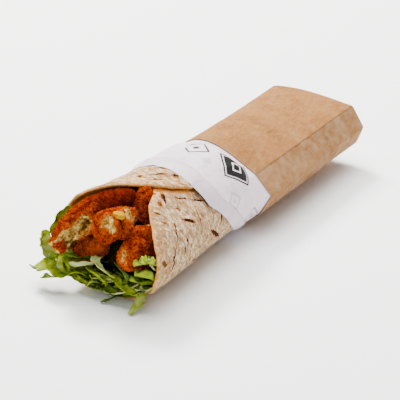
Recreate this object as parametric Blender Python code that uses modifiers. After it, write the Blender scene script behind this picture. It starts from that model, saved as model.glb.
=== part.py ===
"""Falafel wrap: a rolled tortilla with crumbed falafel pieces and shredded lettuce, in a paper liner
and an open card sleeve.

The wrap lies on its side. X runs across it, Y along it from the open mouth (-Y) to the sleeve's far
end (+Y), and Z is up. Sizes below are in millimetres. The last step moves the finished pieces so
that the bottom centre of their common box is at the origin.
"""

from math import cos, exp, pi, radians, sin

import bmesh
import bpy
import numpy as np
from mathutils import Vector, noise

MM = 0.001

# Card sleeve: a flattened six-sided tube, open at both ends
SLEEVE_MOUTH_Y = -2.6
SLEEVE_END_Y = 104.5
CARD = 0.55
MOUTH_CORNERS = {"TL": (-30, 33.5), "TR": (23.2, 35.5), "MR": (33.2, 24.6),
                 "BR": (26.4, 12.4), "BL": (-29, 11.5), "ML": (-36.5, 23)}
END_CORNERS = {"TL": (-26.4, 36.8), "TR": (26, 35.6), "MR": (33.5, 23.9),
               "BR": (28.9, 12.5), "BL": (-27.5, 12.3), "ML": (-33.3, 24)}
MOUTH_TOP_RISE = 14.4
END_TOP_RISE = 2.3
MOUTH_BOTTOM_DROP = 16.0
END_BOTTOM_DROP = 2.0
TOP_SKEW = 0.7
SLEEVE_STATIONS = (SLEEVE_MOUTH_Y, 14, 28, 60, SLEEVE_END_Y)
TOP_PARTS = 12
BOTTOM_PARTS = 10
EDGE_PARTS = 2
OUTLINE_FINER = 5

# Paper liner, closed at its far end
PAPER = 0.4
PAPER_COLUMNS = 3
# The closed end: how far it reaches past the sleeve, its pleats, and its rings as shares of the
# width and of the reach
PAPER_END_REACH = 2.5
PLEAT_DEPTH = 0.5
PLEATS = 8
END_RINGS = ((0.97, 0.55), (0.6, 0.85), (0.25, 0.95), (0, 1))
PAPER_EDGE = ((118, -51.8), (88, -53.2), (54, -56), (26, -54.2), (0, -42.5), (-14, -36.3),
              (-34, -25.9), (-45, -20.5), (-90, -20), (-140, -30), (-180, -42), (-215, -49),
              (-242, -51.8))

# Tortilla: one sheet rolled a little past a full turn
TORTILLA = 2.0
TORTILLA_END_Y = 98.0
SHEET_START = 100
SHEET_STEP = 8
SHEET_ROWS = 52
SHEET_COLUMNS = 4
TURN_ROWS = 45
TUCK_DEPTH = 2.5
TUCK_FULL = 48
TUCK_NONE = 12
UNDER_PAPER = (-72, -57)
# The lip flares out at the upper left: how far, between which angles, and from where along it
FLARE = 3.0
FLARE_ANGLES = (-262, -222, -208, -172)
FLARE_DEPTHS = (-98, -70)
FRONT_EDGE = ((100, -62), (74, -77.7), (64, -90), (46, -101.5), (23, -110.7), (-8, -115),
              (-19, -115), (-34, -110.5), (-51, -104.6), (-61, -107), (-85, -104), (-100, -102.6),
              (-122, -106), (-139, -105.5), (-180, -98), (-205, -96), (-227, -97), (-240, -87),
              (-272, -79), (-294, -69.6), (-308, -55.6))

# The roll in front of the sleeve is an ellipse that grows towards the mouth
ROLL_NEAR_SLEEVE = {"y": -23.75, "x": -3.6, "a": 31.8, "b": 26.6}
ROLL_AT_MOUTH = {"y": -104.5, "x": -5.2, "a": 34.2, "b": 28.5}
FLAT_SPOT = 0.6
BLEND_START_Y = -17.0
BLEND_STATIONS = (BLEND_START_Y, -12.5, -8.5, -5)
PAPER_FLOOR_GAP = 0.3

GAP = 0.35
SLEEVE_GAP = 0.6
PIECE_CLEARANCE = 0.9
LIP_MARGIN = 2.0
PRESS = 0.02

# How a crumbed piece's body and crags are laid out
BODY_SHARE = 0.5
STEP = 0.001
BLUNTNESS = 3
LONG_GRID = (22, 17)
BIG_GRID = (22, 13)
SMALL_GRID = (20, 12)
CUTTER_GRID = (14, 10)
# Crags: their sizes as noise scales, and how deep they go, with the least depth
COARSE_CRAG = 0.16
FINE_CRAG = 0.42
CRAG_BASE = 0.55
COARSE_DEPTH = 0.75
FINE_DEPTH = 0.45
LEAST_DEPTH = 0.05
CRAG_SEED = Vector((7.3, 3.1, 5.7))

# Crumbed pieces: start, middle and end of the middle line, the radius at each, how much taller
# than wide the section is, and the relief's depth
PIECES = {
    "falafel_left": (((-28.8, -115.0, 29.4), (-22.0, -102.0, 41.2), (-13.7, -86.5, 44.9)),
                     (7.2, 8.6, 6.8), 1.0, 1.4),
    "falafel_centre": (((-3.2, -109.5, 44.0), (-2.1, -103.0, 43.8), (-0.4, -96.0, 43.2)),
                       (8.8, 6.8, 5.2), 1.15, 1.2),
    "falafel_lower": (((-17.9, -98.0, 22.8), (-24.6, -96.2, 19.1), (-30.6, -94.0, 15.3)),
                      (6.4, 7.6, 6.4), 1.0, 1.4),
    "falafel_right": (((10.2, -109.0, 29.7), (9.7, -100.0, 28.2), (9.1, -90.0, 28.3)),
                      (8.0, 9.6, 10.0), 1.05, 1.4),
    "falafel_back": (((0.0, -80.0, 45.0), (-2.2, -74.0, 41.0), (-4.3, -67.0, 36.6)),
                     (6.5, 6.9, 6.8), 1.2, 1.2),
}
# Broken places, where the crust is gone and the mash lies deeper: centre, radius and depth
BROKEN = {
    "falafel_left": (((-24.6, -120.4, 28.6), 3.6, 2.6), ((-21.0, -116.8, 33.0), 4.8, 4.8),
                     ((-18.0, -112.6, 37.8), 4.2, 3.2)),
    "falafel_centre": (((1.9, -116.6, 48.0), 5.2, 2.8), ((3.2, -100.2, 48.2), 4.2, 1.2)),
    "falafel_right": (((9.0, -116.4, 33.0), 4.2, 1.4),),
}
GRIDS = {"falafel_left": LONG_GRID, "falafel_centre": BIG_GRID, "falafel_right": BIG_GRID}
KERNEL_CENTRE = (2.2, -109.0, 50.9)
KERNEL_HALF = (3.9, 2.6, 2.0)
KERNEL_GRID = (12, 8)
KERNEL_TAPER = 0.3

# Lettuce: the salad packed into the roll, and the leaves and shreds that show at the mouth
CORE_SHRINK = 2.1
CORE_STATIONS = ((-101.3, 8.3), (-97.2, 14), (-88.3, 23), (-78.3, 30), (-66.6, 35),
                 (-50.3, 60), (-17, 60), (SLEEVE_MOUTH_Y, 60), (28, 60), (95, 60))
CORE_START = 7.5
CORE_TURN = 15
CORE_ROWS = 24
CORE_NOSE = 3.0
LEAF_THICK = 1.1
LEAF_ROWS = 7
LEAF_COLUMNS = 5
# A leaf's width along it, its teeth and its waves
LEAF_LEAST = 0.35
LEAF_SWELL = (0.9, 0.08)
TOOTH_DEPTH = 0.22
TOOTH_LEAN = 1.5
WAVE_ALONG = 2.2
WAVE_ACROSS = 2.1
WAVE_DISH = 0.6
STRIP_LEAN = Vector((0, 0.2, 1))
STRIP_TAPER = 0.55
STRIP_ROWS = 7
# Leaves: path, width, curl, lobes and which way is up
LEAVES = {
    "leaf_left": (((-12, -90, 8), (-24, -105, 11.5), (-36, -113, 13), (-49, -112, 10)),
                  15, 1.2, 5, (0, 0, 1)),
    "leaf_side": (((-24, -80, 24), (-33, -95, 27), (-38, -107, 33), (-36, -109, 45)),
                  10, 1.0, 4, (1, -0.5, 0.2)),
    "leaf_right": (((8, -92, 9), (15, -102, 13), (21, -110, 19), (19, -115, 22)),
                   11, 1.4, 4, (0, 0, 1)),
    "leaf_low": (((-8, -88, 8), (-12, -102, 11), (-16, -112, 9)), 13, 1.5, 5, (0, 0, 1)),
    "leaf_middle": (((4, -88, 8), (6, -102, 13), (7, -112, 12)), 12, 1.6, 4, (0, 0, 1)),
}
# Single strips: path, width and thickness
STRIPS = {
    "rib_left": (((-18, -90, 8), (-17, -105, 15), (-22, -111, 14)), 5, 1.8),
    "rib_middle": (((-2, -92, 10), (-5, -105, 17), (2, -112, 14)), 6, 1.6),
    "strip_floor": (((8, -92, 10), (14, -106, 10), (16, -112, 6), (14, -118, 1.2)), 4.5, 1.1),
    "strip_small": (((-2, -94, 8), (-1, -106, 6), (-2, -110, 3), (-6, -113, 1.4)), 2.6, 1.1),
}
# Shreds, side by side across the mouth: the row's start and width, and for each value its base
# and how far and how fast it varies from one shred to the next
SHREDS = 15
SHRED_ROWS = 6
ROW_START = -24
ROW_WIDTH = 44
BEND = (0, 5, 5.3)
HEIGHT = (8, 3, 2.9)
HEIGHT_RISE = 6
ROOT = (0.9, -90, -0.31, 9, 0.13)
KNEE = (-103, 3)
ELBOW = (-108, -2, 3.7)
TIP = (-109, -3, 2.1)
TIP_BEND = 1.9
TIP_DROP = 3.5
WIDTH = (3.2, 1.2, 1.7)
TWIST = (0, 0.8, 4.1)

COLOURS = {
    "card": ((0.58, 0.37, 0.20), 0.75),
    "paper": ((0.75, 0.71, 0.73), 0.6),
    "tortilla": ((0.70, 0.58, 0.45), 0.7),
    "crumb": ((0.52, 0.15, 0.02), 0.6),
    "corn": ((0.90, 0.55, 0.04), 0.35),
    "lettuce": ((0.27, 0.43, 0.05), 0.45),
}


def clear_scene():
    for obj in list(bpy.data.objects):
        bpy.data.objects.remove(obj, do_unlink=True)


def new_collection(name, hidden=False):
    group = bpy.data.collections.new(name)
    bpy.context.scene.collection.children.link(group)
    group.hide_render = hidden
    return group


def material(name):
    colour, roughness = COLOURS[name]
    made = bpy.data.materials.get(name)
    if made:
        return made
    made = bpy.data.materials.new(name)
    made.use_nodes = True
    shader = made.node_tree.nodes["Principled BSDF"]
    shader.inputs["Base Color"].default_value = (*colour, 1)
    shader.inputs["Roughness"].default_value = roughness
    shader.inputs["Metallic"].default_value = 0
    return made


def object_from(name, mesh, group, finish=None):
    obj = bpy.data.objects.new(name, mesh)
    group.objects.link(obj)
    if finish:
        mesh.materials.clear()
        mesh.materials.append(material(finish))
    return obj


def applied(obj):
    """Bakes an object's modifiers into its mesh."""
    bpy.context.view_layer.update()
    graph = bpy.context.evaluated_depsgraph_get()
    mesh = bpy.data.meshes.new_from_object(obj.evaluated_get(graph))
    obj.modifiers.clear()
    obj.data = mesh
    return obj


def smoothstep(low, high, value):
    t = min(max((value - low) / (high - low), 0.0), 1.0)
    return t * t * (3 - 2 * t)


def along_table(table, angle):
    """Reads a value at an angle from pairs that are listed by falling angle."""
    angles = [pair[0] for pair in reversed(table)]
    values = [pair[1] for pair in reversed(table)]
    return float(np.interp(angle, angles, values))


def grid_mesh(name, rows, closed=False):
    """A surface through rows of points. Rows run round the roll, clockwise seen from the mouth."""
    bm = bmesh.new()
    grid = [[bm.verts.new(Vector(point) * MM) for point in row] for row in rows]
    count = len(grid) if closed else len(grid) - 1
    for r in range(count):
        here, after = grid[r], grid[(r + 1) % len(grid)]
        for c in range(len(here) - 1):
            bm.faces.new((here[c], after[c], after[c + 1], here[c + 1]))
    bmesh.ops.remove_doubles(bm, verts=bm.verts, dist=0.01 * MM)
    bmesh.ops.triangulate(bm, faces=bm.faces)
    mesh = bpy.data.meshes.new(name)
    bm.to_mesh(mesh)
    bm.free()
    return mesh


def solidify(obj, thickness, offset=-1):
    shell = obj.modifiers.new("Wall", "SOLIDIFY")
    shell.thickness = thickness * MM
    shell.offset = offset
    shell.use_even_offset = True
    return obj


def corners_at(y):
    t = (y - SLEEVE_MOUTH_Y) / (SLEEVE_END_Y - SLEEVE_MOUTH_Y)
    return t, {key: (1 - t) * np.array(MOUTH_CORNERS[key]) + t * np.array(END_CORNERS[key])
               for key in MOUTH_CORNERS}


def panel(start, end, count, bulge=None):
    """Points from one corner towards the next, without the last, pushed up or down by a bulge."""
    points = []
    for i in range(count):
        u = i / count
        point = (1 - u) * start + u * end
        if bulge:
            point = point + np.array((0, bulge(u)))
        points.append(point)
    return points


def sleeve_outline(y):
    """The sleeve's outer section at y, clockwise seen from the mouth, from the top left corner."""
    t, corner = corners_at(y)
    rise = (1 - t) * MOUTH_TOP_RISE + t * END_TOP_RISE
    drop = (1 - t) * MOUTH_BOTTOM_DROP + t * END_BOTTOM_DROP
    points = panel(corner["TL"], corner["TR"], TOP_PARTS, lambda u: rise * sin(pi * u ** TOP_SKEW))
    points += panel(corner["TR"], corner["MR"], EDGE_PARTS)
    points += panel(corner["MR"], corner["BR"], EDGE_PARTS)
    points += panel(corner["BR"], corner["BL"], BOTTOM_PARTS, lambda u: -drop * sin(pi * u))
    points += panel(corner["BL"], corner["ML"], EDGE_PARTS)
    points += panel(corner["ML"], corner["TL"], EDGE_PARTS)
    return [np.array((x, max(z, 0.0))) for x, z in points]


def inset_outline(points, inset):
    """A convex outline moved inwards by inset."""
    moved = []
    for i, point in enumerate(points):
        before, after = points[i - 1], points[(i + 1) % len(points)]
        tangent = (after - before) / np.linalg.norm(after - before)
        moved.append(point + inset * np.array((tangent[1], -tangent[0])))
    return moved


def finer(points, count):
    """A closed outline with count points for each of its sides."""
    points = np.array(points)
    after = np.roll(points, -1, axis=0)
    shares = np.arange(count) / count
    return np.concatenate([points[i] + np.outer(shares, after[i] - points[i])
                           for i in range(len(points))])


def sleeve_centre(y):
    t, corner = corners_at(y)
    return (corner["ML"] + corner["MR"]) / 2


def roll_ellipse(y):
    """Centre and half-axes of the roll's outer ellipse at y."""
    near, mouth = ROLL_NEAR_SLEEVE, ROLL_AT_MOUTH
    t = (y - near["y"]) / (mouth["y"] - near["y"])
    x, a, b = ((1 - t) * near[key] + t * mouth[key] for key in "xab")
    return x, b - FLAT_SPOT, a, b


def roll_point(angle, y, inset):
    """A point of the roll at an angle (0 right, 90 up), inset from its outside."""
    x, z, a, b = roll_ellipse(min(y, BLEND_START_Y))
    front = np.array((x + (a - inset) * cos(radians(angle)), z + (b - inset) * sin(radians(angle))))
    front[1] = max(front[1], inset)
    blend = smoothstep(BLEND_START_Y, SLEEVE_MOUTH_Y, y)
    if blend == 0:
        return front
    station = max(y, SLEEVE_MOUTH_Y)
    centre = sleeve_centre(station)
    outline = finer(inset_outline(sleeve_outline(station), CARD + SLEEVE_GAP + inset), OUTLINE_FINER)
    outline = outline - centre
    angles = np.degrees(np.arctan2(outline[:, 1] / b, outline[:, 0] / a))
    order = np.argsort(angles)
    radii = np.hypot(outline[:, 0] / a, outline[:, 1] / b)
    reach = np.interp(angle, angles[order], radii[order], period=360)
    boxed = centre + reach * np.array((a * cos(radians(angle)), b * sin(radians(angle))))
    return (1 - blend) * front + blend * boxed


def place(angle, y, inset):
    x, z = roll_point(angle, y, inset)
    return (x, y, z)


def columns(edge, count, last):
    """Stations from an edge to the blend, then through the sleeve to the last one."""
    first = [edge + (BLEND_START_Y - edge) * i / count for i in range(count)]
    return first + list(BLEND_STATIONS) + [y for y in SLEEVE_STATIONS if y < last]


def make_sleeve(group):
    rings = [sleeve_outline(y) for y in SLEEVE_STATIONS]
    rows = [[(ring[i][0], y, ring[i][1]) for ring, y in zip(rings, SLEEVE_STATIONS)]
            for i in range(len(rings[0]))]
    return solidify(object_from("sleeve", grid_mesh("sleeve", rows, True), group, "card"), CARD)


def make_paper(group):
    """The liner, with its far end folded shut just past the sleeve."""
    rows = []
    end_x, end_z = sleeve_centre(SLEEVE_END_Y)
    for k in range(TURN_ROWS):
        angle = SHEET_START - SHEET_STEP * k
        edge = along_table(PAPER_EDGE, angle)
        ys = columns(edge, PAPER_COLUMNS, SLEEVE_END_Y) + [SLEEVE_END_Y]
        row = [place(angle, y, PAPER_FLOOR_GAP if y < SLEEVE_MOUTH_Y else 0) for y in ys]
        last_x, last_z = roll_point(angle, SLEEVE_END_Y, 0)
        pleat = PLEAT_DEPTH * cos(radians(PLEATS * angle))
        for scale, push in END_RINGS:
            y = SLEEVE_END_Y + PAPER_END_REACH * push + pleat * scale * (1 - scale)
            row.append((end_x + (last_x - end_x) * scale, y, end_z + (last_z - end_z) * scale))
        rows.append(row)
    return solidify(object_from("paper_liner", grid_mesh("paper_liner", rows, True), group, "paper"),
                    PAPER)


def sheet_inset(angle, y):
    """How far the tortilla's outer face lies inside the roll's outline."""
    under_paper = (PAPER + GAP + PAPER_FLOOR_GAP) * smoothstep(*UNDER_PAPER, y)
    tucked = TUCK_DEPTH * smoothstep(TUCK_NONE, TUCK_FULL, angle)
    turned = smoothstep(*FLARE_ANGLES[:2], angle) * (1 - smoothstep(*FLARE_ANGLES[2:], angle))
    flared = FLARE * turned * (1 - smoothstep(*FLARE_DEPTHS, y))
    return under_paper + tucked - flared


def tortilla_sheet(name, group, grow=0.0):
    """The rolled sheet. With grow it is that much larger on every side."""
    rows = []
    for k in range(SHEET_ROWS):
        angle = SHEET_START - SHEET_STEP * k
        edge = along_table(FRONT_EDGE, angle) - grow
        ys = columns(edge, SHEET_COLUMNS, TORTILLA_END_Y) + [TORTILLA_END_Y]
        rows.append([place(angle, y, sheet_inset(angle, y) - grow) for y in ys])
    return solidify(object_from(name, grid_mesh(name, rows), group), TORTILLA + 2 * grow)


def make_tortilla(group):
    sheet = tortilla_sheet("tortilla", group)
    sheet.data.materials.append(material("tortilla"))
    return sheet


def lip_y(angle):
    """The tortilla's front edge in a direction, the nearer one where two layers lie there."""
    turns = [a for a in (angle, angle - 360) if FRONT_EDGE[-1][0] <= a <= SHEET_START]
    return min(along_table(FRONT_EDGE, a) for a in turns)


def tucked_in(point, clearance=GAP):
    """Draws a point in to clear the tortilla's inner face, where it is behind the front edge."""
    x, y, z = point
    cx, cz, a, b = roll_ellipse(min(y, BLEND_START_Y))
    angle = np.degrees(np.arctan2((z - cz) / b, (x - cx) / a))
    angle = angle - 360 if angle > SHEET_START else angle
    if y < lip_y(angle) - LIP_MARGIN:
        return Vector(point)
    layers = TORTILLA + clearance + GAP
    if angle > TUCK_NONE:
        layers += TUCK_DEPTH
    inset = sheet_inset(-90, y) + layers
    wall = np.array(roll_point(angle, y, inset)) - (cx, cz)
    here = np.array((x - cx, z - cz))
    share = np.linalg.norm(here) / max(np.linalg.norm(wall), 1e-6)
    if share > 1:
        here = wall * (1 - PRESS * (share - 1))
    return Vector((cx + here[0], y, cz + here[1]))


def through(values, share):
    """The curve through three values, at a share from 0 to 1."""
    start, middle, end = values
    return (start * (1 - share) * (1 - 2 * share) + middle * (4 * share * (1 - share))
            + end * share * (2 * share - 1))


def finger(bm, path, radii, tall, segments, rings, grow=0.0):
    """A bent, round-ended finger along three points, in millimetres."""
    path = [Vector(point) for point in path]
    bmesh.ops.create_uvsphere(bm, u_segments=segments, v_segments=rings, radius=1)
    for vert in bm.verts:
        n = vert.co.copy()
        share = 0.5 + 0.5 * min(max(n.z / BODY_SHARE, -1), 1)
        along = (through(path, share + STEP) - through(path, share - STEP)).normalized()
        side = along.cross(Vector((0, 0, 1))).normalized()
        up = side.cross(along)
        radius = through(radii, share) + grow
        fuller = ((1 - abs(n.z) ** BLUNTNESS) / max(1 - n.z ** 2, 1e-6)) ** 0.5
        spread = fuller * (side * n.x + up * n.y * tall)
        vert.co = through(path, share) + radius * (spread + along * n.z)
    bmesh.ops.reverse_faces(bm, faces=bm.faces)


def make_piece(name, group):
    """One crumbed piece, craggy, and hollowed where it is broken open."""
    path, radii, tall, relief = PIECES[name]
    seed = CRAG_SEED * Vector((len(name), ord(name[-1]), ord(name[8])))
    bm = bmesh.new()
    finger(bm, path, radii, tall, *GRIDS.get(name, SMALL_GRID))
    bm.normal_update()
    for vert in bm.verts:
        place = vert.co.copy()
        coarse = noise.noise(place * COARSE_CRAG + seed)
        fine = noise.noise(place * FINE_CRAG + seed)
        depth = max(relief * (CRAG_BASE - COARSE_DEPTH * coarse - FINE_DEPTH * fine), LEAST_DEPTH)
        for centre, radius, hollow in BROKEN.get(name, ()):
            depth += hollow * exp(-((place - Vector(centre)).length / radius) ** 2)
        vert.co -= vert.normal * depth
        vert.co = tucked_in(vert.co)
    bmesh.ops.scale(bm, vec=(MM, MM, MM), verts=bm.verts)
    bmesh.ops.triangulate(bm, faces=bm.faces)
    mesh = bpy.data.meshes.new(name)
    bm.to_mesh(mesh)
    bm.free()
    mesh.shade_smooth()
    return object_from(name, mesh, group, "crumb")


def as_cutter(obj):
    obj.hide_render = True
    obj.display_type = "WIRE"
    return obj


def piece_cutter(name, group):
    """A smooth finger a little larger than a crumbed piece, which cuts the salad clear of it."""
    path, radii, tall, _ = PIECES[name]
    bm = bmesh.new()
    finger(bm, path, radii, tall, *CUTTER_GRID, PIECE_CLEARANCE)
    bmesh.ops.scale(bm, vec=(MM, MM, MM), verts=bm.verts)
    bmesh.ops.triangulate(bm, faces=bm.faces)
    mesh = bpy.data.meshes.new(name + "_cutter")
    bm.to_mesh(mesh)
    bm.free()
    return as_cutter(object_from(name + "_cutter", mesh, group))


def kernel_mesh(name, grow):
    """A sweetcorn kernel: a rounded wedge, broad at the top and narrow at the root."""
    bm = bmesh.new()
    bmesh.ops.create_uvsphere(bm, u_segments=KERNEL_GRID[0], v_segments=KERNEL_GRID[1],
                              radius=1)
    for vert in bm.verts:
        x, y, z = vert.co
        narrow = 1 - KERNEL_TAPER * max(-x, 0)
        half = [size + grow for size in KERNEL_HALF]
        vert.co = Vector(KERNEL_CENTRE) + Vector((x * half[0], y * half[1] * narrow, z * half[2]))
    bmesh.ops.scale(bm, vec=(MM, MM, MM), verts=bm.verts)
    bmesh.ops.triangulate(bm, faces=bm.faces)
    mesh = bpy.data.meshes.new(name)
    bm.to_mesh(mesh)
    bm.free()
    return mesh


def make_kernel(group, cutters, host):
    """The kernel, bedded in the broken centre piece."""
    cutter = as_cutter(object_from("kernel_cutter", kernel_mesh("kernel_cutter", GAP), cutters))
    bed = host.modifiers.new("Bed", "BOOLEAN")
    bed.object = cutter
    bed.operation = "DIFFERENCE"
    applied(host)
    return object_from("sweetcorn", kernel_mesh("sweetcorn", 0), group, "corn")


def make_core(group):
    """The packed salad, as a plug that fills the roll and steps down towards the mouth."""
    rows = []
    for k in range(CORE_ROWS):
        angle = CORE_START - CORE_TURN * k
        row = []
        for y, height in CORE_STATIONS:
            inset = sheet_inset(-90, y) + TORTILLA + CORE_SHRINK
            x, z = roll_point(angle, y, inset + TUCK_DEPTH)
            low, high = roll_point(-90, y, inset)[1], roll_point(90, y, inset + TUCK_DEPTH)[1]
            z = low + (z - low) * min(height / (high - low), 1)
            row.append(tuple(tucked_in((x, y, z), CORE_SHRINK)))
        rows.append(row)
    first = np.mean([row[0] for row in rows], axis=0) + (0, -CORE_NOSE, 0)
    last = np.mean([row[-1] for row in rows], axis=0)
    rows = [[tuple(first)] + row + [tuple(last)] for row in rows]
    return object_from("salad_core", grid_mesh("salad_core", rows, True), group)


def spline(points, count):
    """Points of a smooth curve through the given ones."""
    points = [np.array(p, float) for p in points]
    points = [2 * points[0] - points[1]] + points + [2 * points[-1] - points[-2]]
    spans = len(points) - 3
    found = []
    for i in range(count + 1):
        s = min(i / count * spans, spans - 1e-6)
        k, t = int(s), s - int(s)
        a, b, c, d = points[k:k + 4]
        found.append(0.5 * (2 * b + (c - a) * t + (2 * a - 5 * b + 4 * c - d) * t * t
                            + (3 * b - a - 3 * c + d) * t ** 3))
    return found


def leaf(name, group):
    """A torn leaf: a wavy sheet along a path, with a toothed edge and a point at its end."""
    path, width, curl, lobes, up = LEAVES[name]
    centres = spline(path, LEAF_ROWS)
    rows = []
    for i, centre in enumerate(centres):
        u = i / LEAF_ROWS
        along = Vector(centres[min(i + 1, LEAF_ROWS)] - centres[max(i - 1, 0)]).normalized()
        side = along.cross(Vector(up)).normalized()
        lift = side.cross(along)
        swell = sin(pi * min(u * LEAF_SWELL[0] + LEAF_SWELL[1], 1))
        spread = width * (LEAF_LEAST + (1 - LEAF_LEAST) * swell)
        row = []
        for j in range(LEAF_COLUMNS + 1):
            v = j / LEAF_COLUMNS * 2 - 1
            tooth = 1 + TOOTH_DEPTH * sin(lobes * pi * u + TOOTH_LEAN * v) * abs(v)
            wave = curl * sin(WAVE_ALONG * pi * u + WAVE_ACROSS * v) + WAVE_DISH * curl * v * v
            point = Vector(centre) + side * (v * spread * 0.5 * tooth) + lift * wave
            row.append(tucked_in(point, GAP + LEAF_THICK))
        rows.append(row)
    sheet = object_from(name, grid_mesh(name, rows), group)
    return applied(solidify(sheet, LEAF_THICK, 0))


def shred(name, points, width, group, thick=LEAF_THICK, twist=0.0, count=STRIP_ROWS):
    """A strip of leaf along a curve, four-sided, pointed at its far end."""
    centres = spline(points, count)
    bm = bmesh.new()
    rings = []
    for i, centre in enumerate(centres):
        ahead = centres[min(i + 1, count)] - centres[max(i - 1, 0)]
        ahead = Vector(ahead).normalized()
        side = ahead.cross(STRIP_LEAN).normalized()
        lift = side.cross(ahead).normalized()
        turn = twist * i / count
        side, lift = cos(turn) * side + sin(turn) * lift, cos(turn) * lift - sin(turn) * side
        share = 1 - STRIP_TAPER * (i / count) ** 3
        edges = [tucked_in(Vector(centre) + side * (a * width * share / 2), GAP + thick / 2)
                 for a in (-1, 1)]
        corners = (edges[0] - lift * thick / 2, edges[1] - lift * thick / 2,
                   edges[1] + lift * thick / 2, edges[0] + lift * thick / 2)
        ring = [bm.verts.new(corner * MM) for corner in corners]
        rings.append(ring)
    for here, after in zip(rings, rings[1:]):
        for j in range(4):
            bm.faces.new((here[j], here[(j + 1) % 4], after[(j + 1) % 4], after[j]))
    bm.faces.new(rings[0][::-1])
    bm.faces.new(rings[-1])
    bmesh.ops.recalc_face_normals(bm, faces=bm.faces)
    bmesh.ops.triangulate(bm, faces=bm.faces)
    mesh = bpy.data.meshes.new(name)
    bm.to_mesh(mesh)
    bm.free()
    return object_from(name, mesh, group)


def varied(values, i):
    """A base value that varies from one shred to the next."""
    base, reach, rate = values
    return base + reach * sin(rate * i)


def make_greens(group):
    """The leaves and shreds at the mouth. Each starts inside the packed salad."""
    for name in LEAVES:
        leaf(name, group)
    for name, (path, width, thick) in STRIPS.items():
        shred(name, path, width, group, thick)
    for i in range(SHREDS):
        u = i / (SHREDS - 1)
        x = ROW_START + ROW_WIDTH * u
        bend = varied(BEND, i)
        height = varied(HEIGHT, i) + HEIGHT_RISE * u
        inward, root_y, root_step, root_z, root_rise = ROOT
        path = ((x * inward, root_y + root_step * i, root_z + root_rise * i),
                (x, KNEE[0], height + KNEE[1]),
                (x + bend, ELBOW[0] + ELBOW[1] * cos(ELBOW[2] * i), height),
                (x + TIP_BEND * bend, varied(TIP, i), height - TIP_DROP))
        shred("shred_%02d" % i, path, varied(WIDTH, i), group, twist=varied(TWIST, i),
              count=SHRED_ROWS)


def keep_largest(obj):
    """Drops loose scraps that a cut leaves, keeping the main body."""
    bm = bmesh.new()
    bm.from_mesh(obj.data)
    bm.verts.ensure_lookup_table()
    seen, best = set(), []
    for vert in bm.verts:
        if vert in seen:
            continue
        body, queue = [], [vert]
        seen.add(vert)
        while queue:
            at = queue.pop()
            body.append(at)
            for edge in at.link_edges:
                other = edge.other_vert(at)
                if other not in seen:
                    seen.add(other)
                    queue.append(other)
        if len(body) > len(best):
            best = body
    kept = set(best)
    bmesh.ops.delete(bm, geom=[v for v in bm.verts if v not in kept], context="VERTS")
    bm.to_mesh(obj.data)
    bm.free()


def make_lettuce(group, cutters):
    """The core and its leaves and shreds joined into one body, cut clear of the crumbed pieces."""
    heap = new_collection("heap", hidden=True)
    core = make_core(group)
    make_greens(heap)
    join = core.modifiers.new("Heap", "BOOLEAN")
    join.operand_type = "COLLECTION"
    join.collection = heap
    join.operation = "UNION"
    join.solver = "MANIFOLD"
    clear = core.modifiers.new("Clear", "BOOLEAN")
    clear.operand_type = "COLLECTION"
    clear.collection = cutters
    clear.operation = "DIFFERENCE"
    clear.solver = "MANIFOLD"
    applied(core)
    for obj in list(heap.objects):
        bpy.data.objects.remove(obj, do_unlink=True)
    bpy.data.collections.remove(heap)
    keep_largest(core)
    core.name = "lettuce"
    core.data.materials.clear()
    core.data.materials.append(material("lettuce"))
    return core


def stand_on_origin(group):
    """Moves the pieces so that their common box has its bottom centre at the origin."""
    bpy.context.view_layer.update()
    graph = bpy.context.evaluated_depsgraph_get()
    points = [np.array(vert.co) for obj in group.objects
              for vert in obj.evaluated_get(graph).data.vertices]
    low, high = np.min(points, axis=0), np.max(points, axis=0)
    for obj in group.objects:
        obj.location = (-(low[0] + high[0]) / 2, -(low[1] + high[1]) / 2, -low[2])


def main():
    clear_scene()
    wrap = new_collection("falafel_wrap")
    cutters = new_collection("cutters", hidden=True)
    make_sleeve(wrap)
    make_paper(wrap)
    make_tortilla(wrap)
    pieces = {name: make_piece(name, wrap) for name in PIECES}
    for name in PIECES:
        piece_cutter(name, cutters)
    as_cutter(tortilla_sheet("tortilla_cutter", cutters, GAP))
    make_lettuce(wrap, cutters)
    make_kernel(wrap, cutters, pieces["falafel_centre"])
    stand_on_origin(wrap)


main()
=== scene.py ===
"""Falafel wrap, dressed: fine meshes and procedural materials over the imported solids.

Shapes are worked out in the wrap's own frame in millimetres, as in the solids: X across, Y along the
roll from the mouth (-Y) to the sleeve's far end, Z up. to_world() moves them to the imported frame.
"""
from itertools import product
from math import cos, pi, radians, sin

import bpy
import numpy as np
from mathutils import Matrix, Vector


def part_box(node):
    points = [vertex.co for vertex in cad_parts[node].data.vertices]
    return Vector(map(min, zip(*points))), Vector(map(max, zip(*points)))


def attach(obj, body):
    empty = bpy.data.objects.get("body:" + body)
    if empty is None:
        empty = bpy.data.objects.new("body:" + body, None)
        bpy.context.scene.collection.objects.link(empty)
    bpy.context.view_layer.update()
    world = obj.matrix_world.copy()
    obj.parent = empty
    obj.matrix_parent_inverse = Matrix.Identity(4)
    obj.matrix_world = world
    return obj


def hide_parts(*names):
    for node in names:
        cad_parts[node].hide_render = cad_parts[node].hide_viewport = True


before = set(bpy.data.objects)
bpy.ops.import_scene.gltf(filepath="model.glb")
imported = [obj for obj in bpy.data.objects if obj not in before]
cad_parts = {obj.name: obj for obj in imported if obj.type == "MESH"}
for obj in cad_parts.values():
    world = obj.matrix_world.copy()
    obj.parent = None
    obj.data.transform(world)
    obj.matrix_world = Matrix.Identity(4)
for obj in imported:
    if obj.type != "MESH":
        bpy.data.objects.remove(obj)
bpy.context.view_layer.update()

MM = 0.001

# Noise: the size of its tables, the steps through them, and where its cells start
NOISE_TABLE = 4096
KEY_STEPS = np.array((73, 157, 1009))
NOISE_START = (50, 90)
CELL_START = 60

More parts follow.
